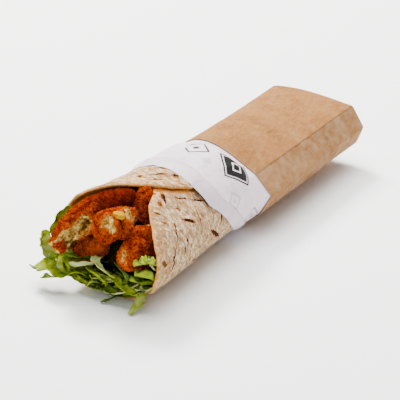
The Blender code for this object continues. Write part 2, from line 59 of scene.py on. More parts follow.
# Card sleeve
SLEEVE_MOUTH_Y = -2.6
SLEEVE_END_Y = 104.5
CARD = 0.5
MOUTH_CORNERS = {"TL": (-30, 33.5), "TR": (23.2, 35.5), "MR": (33.2, 24.6),
                 "BR": (26.4, 12.4), "BL": (-29, 11.5), "ML": (-36.5, 23)}
END_CORNERS = {"TL": (-26.4, 36.8), "TR": (26, 35.6), "MR": (33.5, 23.9),
               "BR": (28.9, 12.5), "BL": (-27.5, 12.3), "ML": (-33.3, 24)}
TOP_RISE = (14.4, 2.3)
BOTTOM_DROP = (16.0, 2.0)
TOP_SKEW = 0.7
SLEEVE_GAP = 0.6
SLEEVE_AROUND = 264
SLEEVE_COLUMNS = 110
SLEEVE_PANEL_POINTS = 120
BROAD_RIPPLE = 0.22
FINE_RIPPLE = 0.07
SLEEVE_SINK = 0.22
# The worn and the creased line along a fold, the crease darkened with painted shade, the worn cut edges, and
# the scuffs on the right side
FOLD_WEAR = 0.5
FOLD_WEAR_WIDTH = 0.8
CREASE_WIDTH = 0.55
CREASE_DEPTH = 0.12
EDGE_WEAR = 0.7
EDGE_WEAR_WIDTH = 0.6
SIDE_WEAR = 0.75
# Small wrinkles at the top right fold near the mouth
PINCH_PLACE = (24, 6, 35)
PINCH_LENGTH = 8
PINCH_WIDTH = 4
PINCH_DEPTH = 0.35

# Paper liner
PAPER = 0.25
PAPER_EDGE = ((118, -51.8), (88, -53.2), (54, -56), (26, -54.2), (0, -42.5), (-14, -36.3),
              (-34, -25.9), (-45, -20.5), (-90, -20), (-140, -30), (-180, -42), (-215, -49),
              (-242, -51.8))
HEM_WIDTH = 11.0
HEM_STEP = 0.4
HEM_DEPTHS = (0, 0.4, 1.5, 3, 5, 7, 9, 10.4, 10.8, 11.2, 11.6, 13, 15)
HEM_SOFTNESS = 0.3
PAPER_END_REACH = 2.5
EDGE_SINK = 1.05
LINER_TURN = 1.5
# The folded end's rings: scale and reach past the sleeve, and how many pleats it has
END_RINGS = ((0.985, 0.5), (0.9, 0.85), (0.6, 0.8), (0.3, 0.95), (0.06, 1))
END_PLEATS = 7
PLEAT_DEPTH = 0.7
# Relief where the paper is open to view: creases, ripples and how far they are sunk
LOOSE_TO = (-8, SLEEVE_MOUTH_Y)
PAPER_CREASE = 0.45
PAPER_RIPPLE = 0.16
PAPER_SINK = 0.3
EDGE_SINK_REACH = 7
PAPER_CLEAR = 0.2

# Tortilla
TORTILLA = 2.0
TORTILLA_END_Y = 97.5
SHEET_START = 100
SHEET_END = -308
TUCK_DEPTH = 2.5
TUCK_NONE = 12
TUCK_FULL = 48
FLARE = 3.0
FLARE_ANGLES = (-262, -222, -208, -172)
FLARE_DEPTHS = (-98, -70)
# Room left for the paper over the sheet, and where the sheet's relief ends under it
PAPER_ROOM = 1.05
UNDER_PAPER = (-72, -57)
RELIEF_END = (-56, -48)
SHEET_TURN = 1.25
SHEET_COLUMNS = 66
# Relief of the sheet, as depth and size: its front edge, its waves and its two sets of crinkles
EDGE_WAVES = ((0.7, 9), (0.4, 3.5))
SHEET_WAVES = ((0.4, 14), (0.2, 5))
CRINKLES = ((1.0, 4.2), (0.6, 2.1))
CRINKLE_LEVEL = 0.35
BUBBLES = (0.14, 1.7)
LIP_ROUNDING = 1.2
LIP_CALM = 3
FACE_SINK = 0.25
BACK_SINK = 0.1
# How far stains reach from the front edge: grease, faint grease, browned rim and the inner face
GREASE_REACH = 2.2
FAINT_REACH = 9
RIM_REACH = 0.8
INSIDE_REACH = 26
FRONT_EDGE = ((100, -62), (74, -77.7), (64, -90), (46, -101.5), (23, -110.7), (-8, -115),
              (-19, -115), (-34, -110.5), (-51, -104.6), (-61, -107), (-85, -104), (-100, -102.6),
              (-122, -106), (-139, -105.5), (-180, -98), (-205, -96), (-227, -97), (-240, -87),
              (-272, -79), (-294, -69.6), (-308, -55.6))

# The roll in front of the sleeve
ROLL_NEAR_SLEEVE = {"y": -23.75, "x": -3.6, "a": 31.8, "b": 26.6}
ROLL_AT_MOUTH = {"y": -104.5, "x": -5.2, "a": 34.2, "b": 28.5}
FLAT_SPOT = 0.6
ROLL_RADIUS = 31.0
ROLL_OUTLINE_POINTS = 72
BLEND_START_Y = -17.0
LINER_STATIONS = (BLEND_START_Y, -14.5, -12, -10, -8, -6, -4.4, SLEEVE_MOUTH_Y, 2, 14, 28, 60,
                  SLEEVE_END_Y)
SHEET_STATIONS = (BLEND_START_Y, -12, -7, SLEEVE_MOUTH_Y, 14, 28, 60, TORTILLA_END_Y)

# Prints on the paper: place on the sheet in millimetres, half diagonal, bands as shares, ink
PRINTS = (
    ((24, -17), 13, ((0, 0.22), (0.34, 0.8), (0.88, 1)), 1),
    ((49, -21), 8.5, ((0.82, 1), (0, 0.25)), 1),
    ((37, -30), 4.5, ((0, 0.75),), 0.22),
    ((62, -29), 6, ((0.6, 1),), 0.22),
    ((8, -33), 6.5, ((0.7, 1), (0, 0.25)), 0.3),
    ((-12, -13), 7.5, ((0.78, 1), (0, 0.3)), 0.6),
    ((-46, -8), 11, ((0, 0.22), (0.34, 0.8)), 0.9),
    ((-84, -14), 9, ((0.78, 1), (0, 0.3)), 0.7),
    ((-112, -24), 13, ((0, 0.22), (0.34, 0.8), (0.88, 1)), 0.9),
)

SLEEVE_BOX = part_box("sleeve")
SHIFT = Vector((SLEEVE_BOX[1].x - END_CORNERS["MR"][0] * MM,
                SLEEVE_BOX[1].y - SLEEVE_END_Y * MM, SLEEVE_BOX[0].z))


def srgb(red, green, blue):
    """A colour given as 0 to 255 screen values, as the linear RGBA that nodes take."""
    linear = [((c / 255 + 0.055) / 1.055) ** 2.4 if c > 10 else c / 3295 for c in (red, green, blue)]
    return (*linear, 1)


def smooth(low, high, value):
    t = np.clip((value - low) / (high - low), 0, 1)
    return t * t * (3 - 2 * t)


def along_table(table, angle):
    pairs = np.array(table[::-1], float)
    return np.interp(angle, pairs[:, 0], pairs[:, 1])


def bell(distance, width):
    """1 at no distance, falling to nothing over about two widths."""
    return np.exp(-(distance / width) ** 2)


def unit(vectors):
    return vectors / np.linalg.norm(vectors, axis=-1)[..., None]


def nearness(points, centre, radius, core=0.5):
    """1 within a share of the radius round a centre, falling to 0 at the radius."""
    return 1 - smooth(core, 1.0, np.linalg.norm(points - centre, axis=1) / radius)


def cell_key(cell):
    """The place in the noise tables of each whole-numbered cell."""
    return (cell @ KEY_STEPS) % NOISE_TABLE


def lattice(points, size, seed):
    """Smooth noise from -1 to 1 at points in millimetres, with features of the given size."""
    rng = np.random.default_rng(seed)
    values = rng.uniform(-1, 1, NOISE_TABLE)
    p = np.asarray(points, float) / size + rng.uniform(*NOISE_START, 3)
    cell = np.floor(p).astype(int)
    share = smooth(0, 1, p - cell)
    total = 0
    for corner in product((0, 1), repeat=3):
        weight = np.where(corner, share, 1 - share).prod(axis=-1)
        total = total + values[cell_key(cell + corner)] * weight
    return total


def waves(points, seed, *layers):
    """Noise summed from layers of depth and size, each with the next seed."""
    return sum(depth * lattice(points, size, seed + i) for i, (depth, size) in enumerate(layers))


def cells(points, size, seed):
    """Distance to the nearest of scattered points, one for each cell, as a share of the size."""
    rng = np.random.default_rng(seed)
    offsets = rng.uniform(0, 1, (NOISE_TABLE, 3))
    p = np.asarray(points, float) / size + CELL_START
    base = np.floor(p).astype(int)
    nearest = np.full(p.shape[:-1], np.inf)
    for step in product((-1, 0, 1), repeat=3):
        cell = base + step
        reach = np.linalg.norm(cell + offsets[cell_key(cell)] - p, axis=-1)
        nearest = np.minimum(nearest, reach)
    return nearest


def to_world(points):
    return np.asarray(points, float) * MM + np.array(SHIFT)


def to_wrap(points):
    return (np.asarray(points, float) - np.array(SHIFT)) / MM


# Colours
CARD_DARK = srgb(120, 77, 38)
CARD_LIGHT = srgb(148, 102, 59)
CARD_SHADE = srgb(107, 68, 34)
CARD_FIBRE = srgb(167, 123, 79)
CARD_FLECK = srgb(88, 51, 20)
# Painted shade along the creases of the top folds
CARD_CREASE_SHADE = srgb(64, 32, 8)
CARD_WORN = srgb(158, 128, 97)
PAPER_DARK = srgb(212, 194, 202)
PAPER_LIGHT = srgb(230, 212, 220)
# Painted shade on the hem and along its fold
PAPER_FOLD_SHADE = srgb(150, 138, 144)
PAPER_INK = srgb(6, 5, 7)
BREAD_DARK = srgb(160, 126, 89)
BREAD_LIGHT = srgb(178, 146, 109)
# Painted highlight on crinkle ridges, then tan for real specks and for painted shade in crinkle hollows
BREAD_CRINKLE_HIGHLIGHT = srgb(232, 206, 166)
BREAD_SPECK_AND_CRINKLE_SHADE = srgb(126, 85, 48)
# Golden stain, also used for the painted shadow under the top flap's lip
BREAD_STAIN_AND_SHADOW = srgb(198, 132, 44)
BREAD_EDGE = srgb(188, 106, 24)
# Crumb crust; the darkest is painted shade in the pits
CRUMB_PIT_SHADE = srgb(32, 6, 0)
CRUMB_DARK = srgb(82, 13, 1)
CRUMB_RED = srgb(116, 26, 1)
CRUMB_ORANGE = srgb(152, 48, 1)
CRUMB_GOLD = srgb(184, 82, 4)
# Painted shade on the crust under the lip and deep in the mouth
CRUMB_PAINTED_SHADE = srgb(70, 8, 0)
MASH_SHADE = srgb(48, 26, 4)
MASH_DARK = srgb(98, 54, 6)
MASH = srgb(166, 124, 50)
MASH_LIGHT = srgb(226, 200, 118)
MASH_GREEN = srgb(72, 84, 16)
CORN_DARK = srgb(160, 107, 0)
CORN_LIGHT = srgb(179, 137, 0)
LEAF_RIB = srgb(168, 174, 112)
LEAF_PALE = srgb(126, 140, 4)
LEAF_BRIGHT = srgb(66, 88, 1)
LEAF_DEEP = srgb(12, 32, 1)
# Painted shadow: near-black salad deep in the roll
PLUG_SHADOW_DARK = srgb(13, 10, 2)
PLUG_SHADOW_LIGHT = srgb(38, 32, 8)
TOAST_DARK = srgb(34, 12, 4)
TOAST_TAN = srgb(122, 58, 15)
# Scattered toasting: cell, share of cells, radius, stretch, turn, colour and depth
SCATTER = (
    (11.0, 0.45, 0.36, (0.55, 1, 1), 0.5, srgb(150, 104, 62), 0.4),
    (4.5, 0.3, 0.13, (0.6, 1, 1), 0.9, srgb(124, 72, 34), 0.6),
)
# Toasted marks: place on the sheet, half length, half width, turn in degrees and darkness, and
# how much larger their soft edges make them
STREAK_SIZE = 1.15
TOAST = (
    ((34.1, -77.2), 5.4, 0.85, -141, 1), ((31.4, -84), 2.2, 1.2, -146, 0.5),
    ((28.1, -92), 2.7, 0.7, 135, 0.9), ((39, -79), 1.4, 0.8, 170, 0.8),
    ((26.5, -66.4), 5.6, 0.45, 121, 0.6), ((21.1, -58), 3.8, 0.6, 124, 0.9),
    ((23, -76.4), 1.4, 1, 180, 0.5), ((14.3, -76), 3.9, 0.8, 127, 1),
    ((21.1, -93.2), 1.3, 0.7, 140, 0.5), ((12.2, -90.4), 5.4, 0.5, -146, 0.6),
    ((4.3, -84), 2.1, 0.7, 174, 0.6), ((-5.3, -53), 7, 1.1, 132, 1),
    ((3.5, -46.8), 3.4, 0.6, -167, 0.8), ((-1.1, -98), 5.8, 0.7, -160, 1),
    ((1.1, -108), 2.6, 1.4, 137, 0.9), ((-14.5, -73), 2.4, 1.2, 120, 0.9),
    ((11.4, -67.6), 3.4, 0.45, -166, 0.5), ((0, -86.8), 2.4, 0.6, -166, 0.5),
    ((-148.2, -61.6), 3.6, 0.6, 132, 0.9), ((-154.5, -56), 1.3, 0.9, 140, 0.9),
    ((-151.2, -69.2), 4.2, 0.5, 132, 0.7), ((-131, -83.5), 4.6, 0.7, 118, 0.9),
    ((-142, -70), 1.1, 0.8, 154, 0.6), ((-161, -60.8), 1.8, 0.6, 135, 0.6),
    ((-112, -78), 5, 0.8, 100, 0.9), ((-96, -62), 4, 1.2, 80, 0.8),
    ((-78, -80), 3, 1, 20, 0.8), ((-60, -60), 5, 0.8, 60, 0.8),
)


# Sections of the wrap

def corners_at(y):
    t = (y - SLEEVE_MOUTH_Y) / (SLEEVE_END_Y - SLEEVE_MOUTH_Y)
    return t, {key: (1 - t) * np.array(MOUTH_CORNERS[key]) + t * np.array(END_CORNERS[key])
               for key in MOUTH_CORNERS}


def sleeve_outline(y, count):
    """The sleeve's outer section at y, clockwise seen from the mouth, with count points in its top."""
    t, corner = corners_at(y)
    rise = (1 - t) * TOP_RISE[0] + t * TOP_RISE[1]
    drop = (1 - t) * BOTTOM_DROP[0] + t * BOTTOM_DROP[1]
    bulges = {"TL": lambda u: rise * np.sin(pi * u ** TOP_SKEW), "BR": lambda u: -drop * np.sin(pi * u)}
    panels = []
    for name, following in zip(corner, [*corner][1:] + [*corner][:1]):
        steps = count if name in bulges else count // 3
        u = np.arange(steps)[:, None] / steps
        panels.append((1 - u) * corner[name] + u * corner[following])
        if name in bulges:
            panels[-1][:, 1] += bulges[name](u[:, 0])
    points = np.concatenate(panels)
    points[:, 1] = np.maximum(points[:, 1], 0)
    return points


def inset_outline(points, inset):
    tangent = unit(np.roll(points, -1, axis=0) - np.roll(points, 1, axis=0))
    return points + inset * np.stack((tangent[:, 1], -tangent[:, 0]), axis=1)


def sleeve_centre(y):
    corner = corners_at(y)[1]
    return (corner["ML"] + corner["MR"]) / 2


def roll_ellipse(y):
    near, mouth = ROLL_NEAR_SLEEVE, ROLL_AT_MOUTH
    t = (np.minimum(y, BLEND_START_Y) - near["y"]) / (mouth["y"] - near["y"])
    x, a, b = ((1 - t) * near[key] + t * mouth[key] for key in "xab")
    return x, b - FLAT_SPOT, a, b


def roll(angle, y, inset):
    """Points of the roll for arrays of angle (0 right, 90 up) and y, inset from its outside."""
    angle, y, inset = np.broadcast_arrays(np.asarray(angle, float), y, inset)
    turn = np.radians(angle)
    x, z, a, b = roll_ellipse(y)
    px = x + (a - inset) * np.cos(turn)
    pz = np.maximum(z + (b - inset) * np.sin(turn), inset)
    blend = smooth(BLEND_START_Y, SLEEVE_MOUTH_Y, y)
    for station in np.unique(y[blend > 0]):
        here = y == station
        for depth in np.unique(np.round(inset[here], 2)):
            chosen = here & (np.round(inset, 2) == depth)
            at = max(station, SLEEVE_MOUTH_Y)
            centre = sleeve_centre(at)
            outline = sleeve_outline(at, ROLL_OUTLINE_POINTS)
            outline = inset_outline(outline, CARD + SLEEVE_GAP + depth) - centre
            scale = np.array(roll_ellipse(BLEND_START_Y)[2:])
            flat = outline / scale
            angles = np.degrees(np.arctan2(flat[:, 1], flat[:, 0]))
            order = np.argsort(angles)
            reach = np.interp(angle[chosen], angles[order], np.hypot(*flat.T)[order], period=360)
            share = blend[chosen]
            for found, k, wave in ((px, 0, np.cos), (pz, 1, np.sin)):
                boxed = centre[k] + reach * scale[k] * wave(turn[chosen])
                found[chosen] = (1 - share) * found[chosen] + share * boxed
    return np.stack((px, y, pz), axis=-1)


# Meshes

def sheet_grid(angles, front, stations):
    """The y places, the angles and the distances round the roll of a sheet's points.

    Its first columns follow its front edge, and the others are the fixed stations."""
    ys = np.concatenate((front, np.repeat(np.array([stations]), len(angles), axis=0)), axis=1)
    wide = np.repeat(angles[:, None], ys.shape[1], axis=1)
    return ys, wide, np.radians(wide) * ROLL_RADIUS


def mesh_object(name, points, faces, material, uv=None, marks=None):
    """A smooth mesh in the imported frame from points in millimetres, with UVs and attributes."""
    mesh = bpy.data.meshes.new(name)
    mesh.from_pydata(to_world(points).reshape(-1, 3).tolist(), [], faces)
    if uv is not None:
        layer = mesh.uv_layers.new(name="sheet")
        corner = np.array([loop.vertex_index for loop in mesh.loops])
        layer.data.foreach_set("uv", np.asarray(uv, np.float32)[corner].ravel())
    for key, values in (marks or {}).items():
        attribute = mesh.attributes.new(key, "FLOAT", "POINT")
        attribute.data.foreach_set("value", np.asarray(values, np.float32).ravel())
    mesh.materials.append(material)
    mesh.shade_smooth()
    obj = bpy.data.objects.new(name, mesh)
    bpy.context.scene.collection.objects.link(obj)
    return obj


def grid_faces(rows, columns, closed_rows=False, closed_columns=False, start=0):
    """Quads of a grid, with rows clockwise round the roll and columns towards +Y facing outwards."""
    faces = []
    for r in range(rows if closed_rows else rows - 1):
        for c in range(columns if closed_columns else columns - 1):
            a = start + r * columns + c
            b = start + (r + 1) % rows * columns + c
            step = (c + 1) % columns - c
            faces.append((a, b, b + step, a + step))
    return faces


def solidify(obj, thickness, offset=-1.0, even=True):
    wall = obj.modifiers.new("Wall", "SOLIDIFY")
    wall.thickness = thickness * MM
    wall.offset = offset
    wall.use_even_offset = even
    return obj


def dress(obj, slot, *nodes):
    """Fixes a piece to the wrap's body and hides the solids it stands for. Its slot is not used."""
    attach(obj, "root")
    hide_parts(*nodes)


# Materials

class Finish:
    """A material's node tree under construction, with short calls for the nodes used here.

    Softness is the weight of light under the surface and how far it spreads in millimetres."""

    def __init__(self, name, roughness, specular, softness=None):
        self.material = bpy.data.materials.new(name)
        self.material.use_nodes = True
        self.tree = self.material.node_tree
        self.shader = self.tree.nodes["Principled BSDF"]
        self.put(self.shader.inputs["Roughness"], roughness)
        self.put(self.shader.inputs["Specular IOR Level"], specular)
        if softness:
            self.put(self.shader.inputs["Subsurface Weight"], softness[0])
            self.put(self.shader.inputs["Subsurface Scale"], softness[1] * MM)
        self.place = self.add("TexCoord").outputs["Object"]

    def add(self, kind, inputs=None, **settings):
        node = self.tree.nodes.new("ShaderNode" + kind)
        for key, value in settings.items():
            setattr(node, key, value)
        for key, value in (inputs or {}).items():
            self.put(node.inputs[key], value)
        return node

    def put(self, socket, value):
        if isinstance(value, bpy.types.NodeSocket):
            self.tree.links.new(value, socket)
        else:
            socket.default_value = value

    def mark(self, name):
        return self.add("Attribute", attribute_name=name).outputs["Fac"]

    def uv(self):
        return self.add("UVMap", uv_map="sheet").outputs[0]

    def noise(self, size, detail=3.0, rough=0.55, vector=None, stretch=None, warp=0.0):
        """Noise from 0 to 1 with features of a size in millimetres."""
        vector = vector or self.place
        if stretch:
            vector = self.add("Mapping", {0: vector, "Scale": stretch}).outputs[0]
        node = self.add("TexNoise", {"Vector": vector, "Scale": 1 / (size * MM), "Detail": detail,
                                     "Roughness": rough, "Distortion": warp})
        return node.outputs[0]

    def cells(self, size):
        node = self.add("TexVoronoi", {"Vector": self.place, "Scale": 1 / (size * MM)})
        return node.outputs["Distance"]

    def bent(self, vector, size, reach):
        """A place pushed about by noise, with features of a size and a reach in millimetres."""
        noise = self.add("TexNoise", {"Vector": vector, "Scale": 1 / (size * MM), "Detail": 3.0})
        push = self.add("VectorMath", {0: noise.outputs[1], 1: (-0.5, -0.5, -0.5)}, operation="ADD")
        push = self.add("VectorMath", {0: push.outputs[0], "Scale": reach * MM}, operation="SCALE")
        return self.add("VectorMath", {0: vector, 1: push.outputs[0]}, operation="ADD").outputs[0]

    def spots(self, size, share, radius, vector, stretch, turn):
        """Scattered soft spots, one in a share of the cells, with a radius as a share of a cell."""
        placed = self.add("Mapping", {0: vector, "Scale": stretch, "Rotation": (0, 0, turn)}).outputs[0]
        bent = self.bent(placed, size / 2.2, 0.35 * size)
        node = self.add("TexVoronoi", {"Vector": bent, "Scale": 1 / (size * MM)}, voronoi_dimensions="2D")
        chance = self.add("SeparateColor", {0: node.outputs["Color"]}).outputs
        reach = self.times(self.fit(chance[1], 0, 1, 0.5, 1.3), radius)
        inside = self.fit(self.maths("DIVIDE", node.outputs["Distance"], reach), 0.55, 1.0, 1.0, 0.0)
        return self.times(inside, self.maths("LESS_THAN", chance[0], share))

    def streaks(self, marks, vector):
        """Ragged oblong marks at given places of the sheet, as one strength."""
        bent = self.bent(vector, 1.6, 2.4)
        total = None
        for (across, along), length, width, turn, dark in marks:
            size = (STREAK_SIZE * length * MM, STREAK_SIZE * width * MM, 1)
            local = self.add("Mapping", {0: bent, "Location": (across * MM, along * MM, 0),
                                         "Rotation": (0, 0, radians(turn)), "Scale": size},
                             vector_type="TEXTURE")
            away = self.add("VectorMath", {0: local.outputs[0]}, operation="LENGTH").outputs[1]
            mark = self.fit(away, 0.6, 1.25, dark, 0.0)
            total = mark if total is None else self.maths("MAXIMUM", total, mark)
        return total

    def fit(self, value, low, high, to_low=0.0, to_high=1.0):
        node = self.add("MapRange", {0: value, 1: low, 2: high, 3: to_low, 4: to_high})
        return node.outputs[0]

    def maths(self, operation, a, b=0.0):
        return self.add("Math", {0: a, 1: b}, operation=operation).outputs[0]

    def times(self, a, b):
        return self.maths("MULTIPLY", a, b)

    def mix(self, share, a, b):
        return self.add("MixRGB", {0: share, 1: a, 2: b}).outputs[0]

    def ramp(self, value, *stops):
        """Colours at places from 0 to 1."""
        node = self.add("ValToRGB", {0: value})
        band = node.color_ramp.elements
        band[0].position, band[0].color = stops[0]
        band[1].position, band[1].color = stops[-1]
        for place, colour in stops[1:-1]:
            band.new(place).color = colour
        return node.outputs[0]

    def tint(self, base, colour, value, low, high, to_low=0.0, to_high=1.0):
        """A colour over a base, by a value fitted from one range to another."""
        return self.mix(self.fit(value, low, high, to_low, to_high), base, colour)

    def colour(self, value):
        self.put(self.shader.inputs["Base Color"], value)

    def bump(self, height, depth, strength=1.0):
        """Relief of a depth in millimetres."""
        before = self.shader.inputs["Normal"].links
        inputs = {"Height": height, "Distance": depth * MM, "Strength": strength}
        if before:
            inputs["Normal"] = before[0].from_socket
        node = self.add("Bump", inputs)
        self.put(self.shader.inputs["Normal"], node.outputs[0])


def kraft_card():
    """Unbleached card: warm tan with fine fibres, cloudy patches and small dark flecks, and painted shade
    along the creases of its top folds.
    """
    card = Finish("kraft_card", 0.72, 0.03)
    clouds = card.noise(13, 4, 0.6)
    fibres = card.noise(1.3, 5, 0.7, stretch=(1, 0.3, 1))
    base = card.ramp(clouds, (0.34, CARD_DARK), (0.66, CARD_LIGHT))
    grain = card.ramp(fibres, (0.3, CARD_SHADE), (0.75, CARD_FIBRE))
    shade = card.mix(0.45, base, grain)
    flecks = card.fit(card.noise(0.7, 2, 0.5, stretch=(1, 0.5, 1)), 0.64, 0.72)
    shade = card.mix(card.times(flecks, 0.4), shade, CARD_FLECK)
    scuffs = card.noise(5, 4, 0.65, stretch=(1, 0.6, 1))
    shade = card.tint(shade, CARD_WORN, scuffs, 0.54, 0.7, 0, 0.3)
    # Painted shade: the creases of the top folds are darkened
    shade = card.mix(card.times(card.mark("crease"), 0.8), shade, CARD_CREASE_SHADE)
    card.colour(card.mix(card.mark("wear"), shade, CARD_WORN))
    card.bump(fibres, 0.09, 0.7)
    card.bump(card.noise(4, 3), 0.2, 0.6)
    card.bump(card.noise(14, 2, stretch=(1, 0.4, 1)), 0.5, 0.5)
    return card.material


def lozenge(paper, across, along, place, half):
    """How far a point of the sheet is from a lozenge's middle, 1 on its outline."""
    a = paper.maths("ABSOLUTE", paper.maths("SUBTRACT", across, place[0] * MM))
    b = paper.maths("ABSOLUTE", paper.maths("SUBTRACT", along, place[1] * MM))
    return paper.maths("DIVIDE", paper.maths("ADD", a, b), half * MM)


def liner_paper():
    """Thin lilac-white paper with grey lozenges and bars printed on its outer side, and painted shade on its
    hem and along the hem's fold.
    """
    paper = Finish("liner_paper", 0.5, 0.3, softness=(0.08, 2))
    clouds = paper.noise(9, 4)
    shade = paper.ramp(clouds, (0.3, PAPER_DARK), (0.7, PAPER_LIGHT))
    sheet = paper.add("SeparateXYZ", {0: paper.uv()}).outputs
    printed = None
    for place, half, bands, ink in PRINTS:
        away = lozenge(paper, sheet[0], sheet[1], place, half)
        for low, high in bands:
            band = paper.times(paper.maths("GREATER_THAN", away, low),
                               paper.maths("LESS_THAN", away, high))
            band = paper.times(band, ink)
            printed = band if printed is None else paper.maths("MAXIMUM", printed, band)
    depth = paper.mark("depth")
    clear = paper.fit(depth, HEM_WIDTH, HEM_WIDTH + HEM_SOFTNESS)
    printed = paper.times(printed, clear)
    printed = paper.times(printed, paper.fit(paper.noise(0.5, 2), 0.2, 0.4, 0.88, 1))
    # Painted shade: the hem band is darkened, and a darker line is painted along its fold
    shade = paper.tint(shade, PAPER_FOLD_SHADE, depth, HEM_WIDTH - HEM_STEP, HEM_WIDTH, 0.3, 0)
    fold = paper.maths("ABSOLUTE", paper.maths("SUBTRACT", depth, HEM_WIDTH))
    shade = paper.tint(shade, PAPER_FOLD_SHADE, fold, 0.15, 0.7, 0.85, 0)
    paper.colour(paper.mix(printed, shade, PAPER_INK))
    paper.bump(paper.noise(2.4, 4, 0.6), 0.08, 0.5)
    paper.bump(paper.noise(7, 3, 0.5, stretch=(1, 0.6, 1), warp=0.8), 0.7, 0.7)
    return paper.material


def flatbread():
    """Soft floury bread, cream with toasted marks and a stained, greasy front edge, with painted shade in
    its crinkles, painted highlights on their ridges and a painted shadow under the top flap's lip.
    """
    bread = Finish("flatbread", 0.6, 0.02, softness=(0.06, 2))
    sheet = bread.uv()
    clouds = bread.noise(9, 4, 0.6)
    base = bread.ramp(clouds, (0.3, BREAD_DARK), (0.7, BREAD_LIGHT))
    crepe = bread.noise(1.8, 5, 0.7, vector=sheet, stretch=(0.55, 1, 1), warp=0.8)
    # Painted shade in the crinkles' hollows and painted highlights on their ridges, from the same noise as
    # their relief
    base = bread.tint(base, BREAD_SPECK_AND_CRINKLE_SHADE, crepe, 0.37, 0.47, 0.85, 0)
    base = bread.tint(base, BREAD_CRINKLE_HIGHLIGHT, crepe, 0.5, 0.59, 0, 0.9)
    specks = bread.noise(0.8, 3, 0.6)
    base = bread.tint(base, BREAD_SPECK_AND_CRINKLE_SHADE, specks, 0.56, 0.7, 0, 0.35)
    for size, share, radius, stretch, turn, colour, depth in SCATTER:
        mark = bread.spots(size, share, radius, sheet, stretch, turn)
        base = bread.mix(bread.times(mark, depth), base, colour)
    broken = bread.fit(bread.noise(1.2, 3, 0.7, vector=sheet), 0.36, 0.5, 0.25, 1)
    streaks = bread.times(bread.streaks(TOAST, sheet), broken)
    base = bread.tint(base, TOAST_TAN, streaks, 0.02, 0.3)
    base = bread.tint(base, TOAST_DARK, streaks, 0.3, 0.6)
    # Stains and the browned edge, with the painted shadow under the top flap's lip
    stain_and_shadow = bread.mark("stain_and_shadow")
    base = bread.tint(base, BREAD_STAIN_AND_SHADOW, stain_and_shadow, 0, 0.6, 0, 0.75)
    bread.colour(bread.tint(base, BREAD_EDGE, stain_and_shadow, 0.55, 1, 0, 0.7))
    bread.bump(crepe, 1.3, 1)
    bread.bump(specks, 0.1, 0.6)
    return bread.material


def fried_crumb():
    """Deep-fried crumb over pale mash, dark red-brown in its pits as painted shade and golden on its grains
    as painted highlights, with painted shade and light by place.
    """
    crumb = Finish("fried_crumb", 0.4, 0)
    height = crumb.mark("height")
    patches = crumb.noise(5, 3)
    # Colour by relief height: painted shade in the pits, painted highlights on the grains
    dark = crumb.ramp(height, (0.1, CRUMB_PIT_SHADE), (0.5, CRUMB_DARK), (0.95, CRUMB_ORANGE))
    light = crumb.ramp(height, (0.05, CRUMB_PIT_SHADE), (0.4, CRUMB_RED), (0.95, CRUMB_GOLD))
    crust = crumb.mix(crumb.fit(patches, 0.38, 0.62), dark, light)
    crust = crumb.mix(crumb.times(crumb.mark("rim"), 0.6), crust, CRUMB_GOLD)
    # Painted shade darkens the crust and painted light lifts it to gold, by place
    shade_and_light = crumb.mark("shade_and_light")
    crust = crumb.tint(crust, CRUMB_PAINTED_SHADE, shade_and_light, 0, 1, 0, 0.8)
    golden = crumb.times(crumb.fit(shade_and_light, 0, -1), height)
    crust = crumb.mix(golden, crust, CRUMB_GOLD)
    mash = crumb.ramp(crumb.noise(2.4, 4, 0.65), (0.32, MASH_DARK), (0.48, MASH), (0.62, MASH_LIGHT))
    green = crumb.fit(crumb.noise(1.6, 2), 0.58, 0.66)
    mash = crumb.mix(crumb.times(green, 0.6), mash, MASH_GREEN)
    # Painted shade on the mash deep in the broken dents
    mash = crumb.tint(mash, MASH_SHADE, crumb.mark("dent"), 0.1, 0.8, 0, 0.85)
    crumb.colour(crumb.mix(crumb.mark("mash"), crust, mash))
    crumb.put(crumb.shader.inputs["Roughness"], crumb.fit(crumb.cells(1.2), 0, 1, 0.32, 0.6))
    crumb.bump(crumb.noise(0.5, 4, 0.7), 0.1, 0.8)
    return crumb.material


def corn_skin():
    corn = Finish("corn_skin", 0.35, 0)
    corn.colour(corn.ramp(corn.noise(2.5, 2), (0.35, CORN_DARK), (0.65, CORN_LIGHT)))
    corn.bump(corn.noise(1.2, 2), 0.08, 0.5)
    return corn.material


def leaf_green():
    """Lettuce, from white-green ribs to deep green blades, moist and finely veined."""
    leaf = Finish("leaf_green", 0.24, 0.09, softness=(0.05, 1.5))
    tone = leaf.maths("ADD", leaf.mark("tone"), leaf.fit(leaf.noise(3.5, 3), 0.3, 0.7, -0.16, 0.16))
    body = leaf.ramp(tone, (0, LEAF_RIB), (0.25, LEAF_PALE), (0.55, LEAF_BRIGHT), (1, LEAF_DEEP))
    veins = leaf.noise(0.9, 3, 0.6, vector=leaf.uv(), stretch=(3, 0.5, 1))
    leaf.colour(leaf.tint(body, LEAF_PALE, veins, 0.52, 0.68, 0, 0.35))
    leaf.bump(veins, 0.2, 0.7)
    leaf.bump(leaf.noise(1.5, 3), 0.2, 0.5)
    return leaf.material


def painted_shadow_salad():
    """The salad deep in the roll, coloured near black as painted shadow."""
    salad = Finish("painted_shadow_salad", 0.9, 0)
    salad.colour(salad.ramp(salad.noise(4, 4), (0.3, PLUG_SHADOW_DARK), (0.7, PLUG_SHADOW_LIGHT)))
    salad.bump(salad.noise(2, 4), 0.8, 0.8)
    return salad.material


# Card sleeve

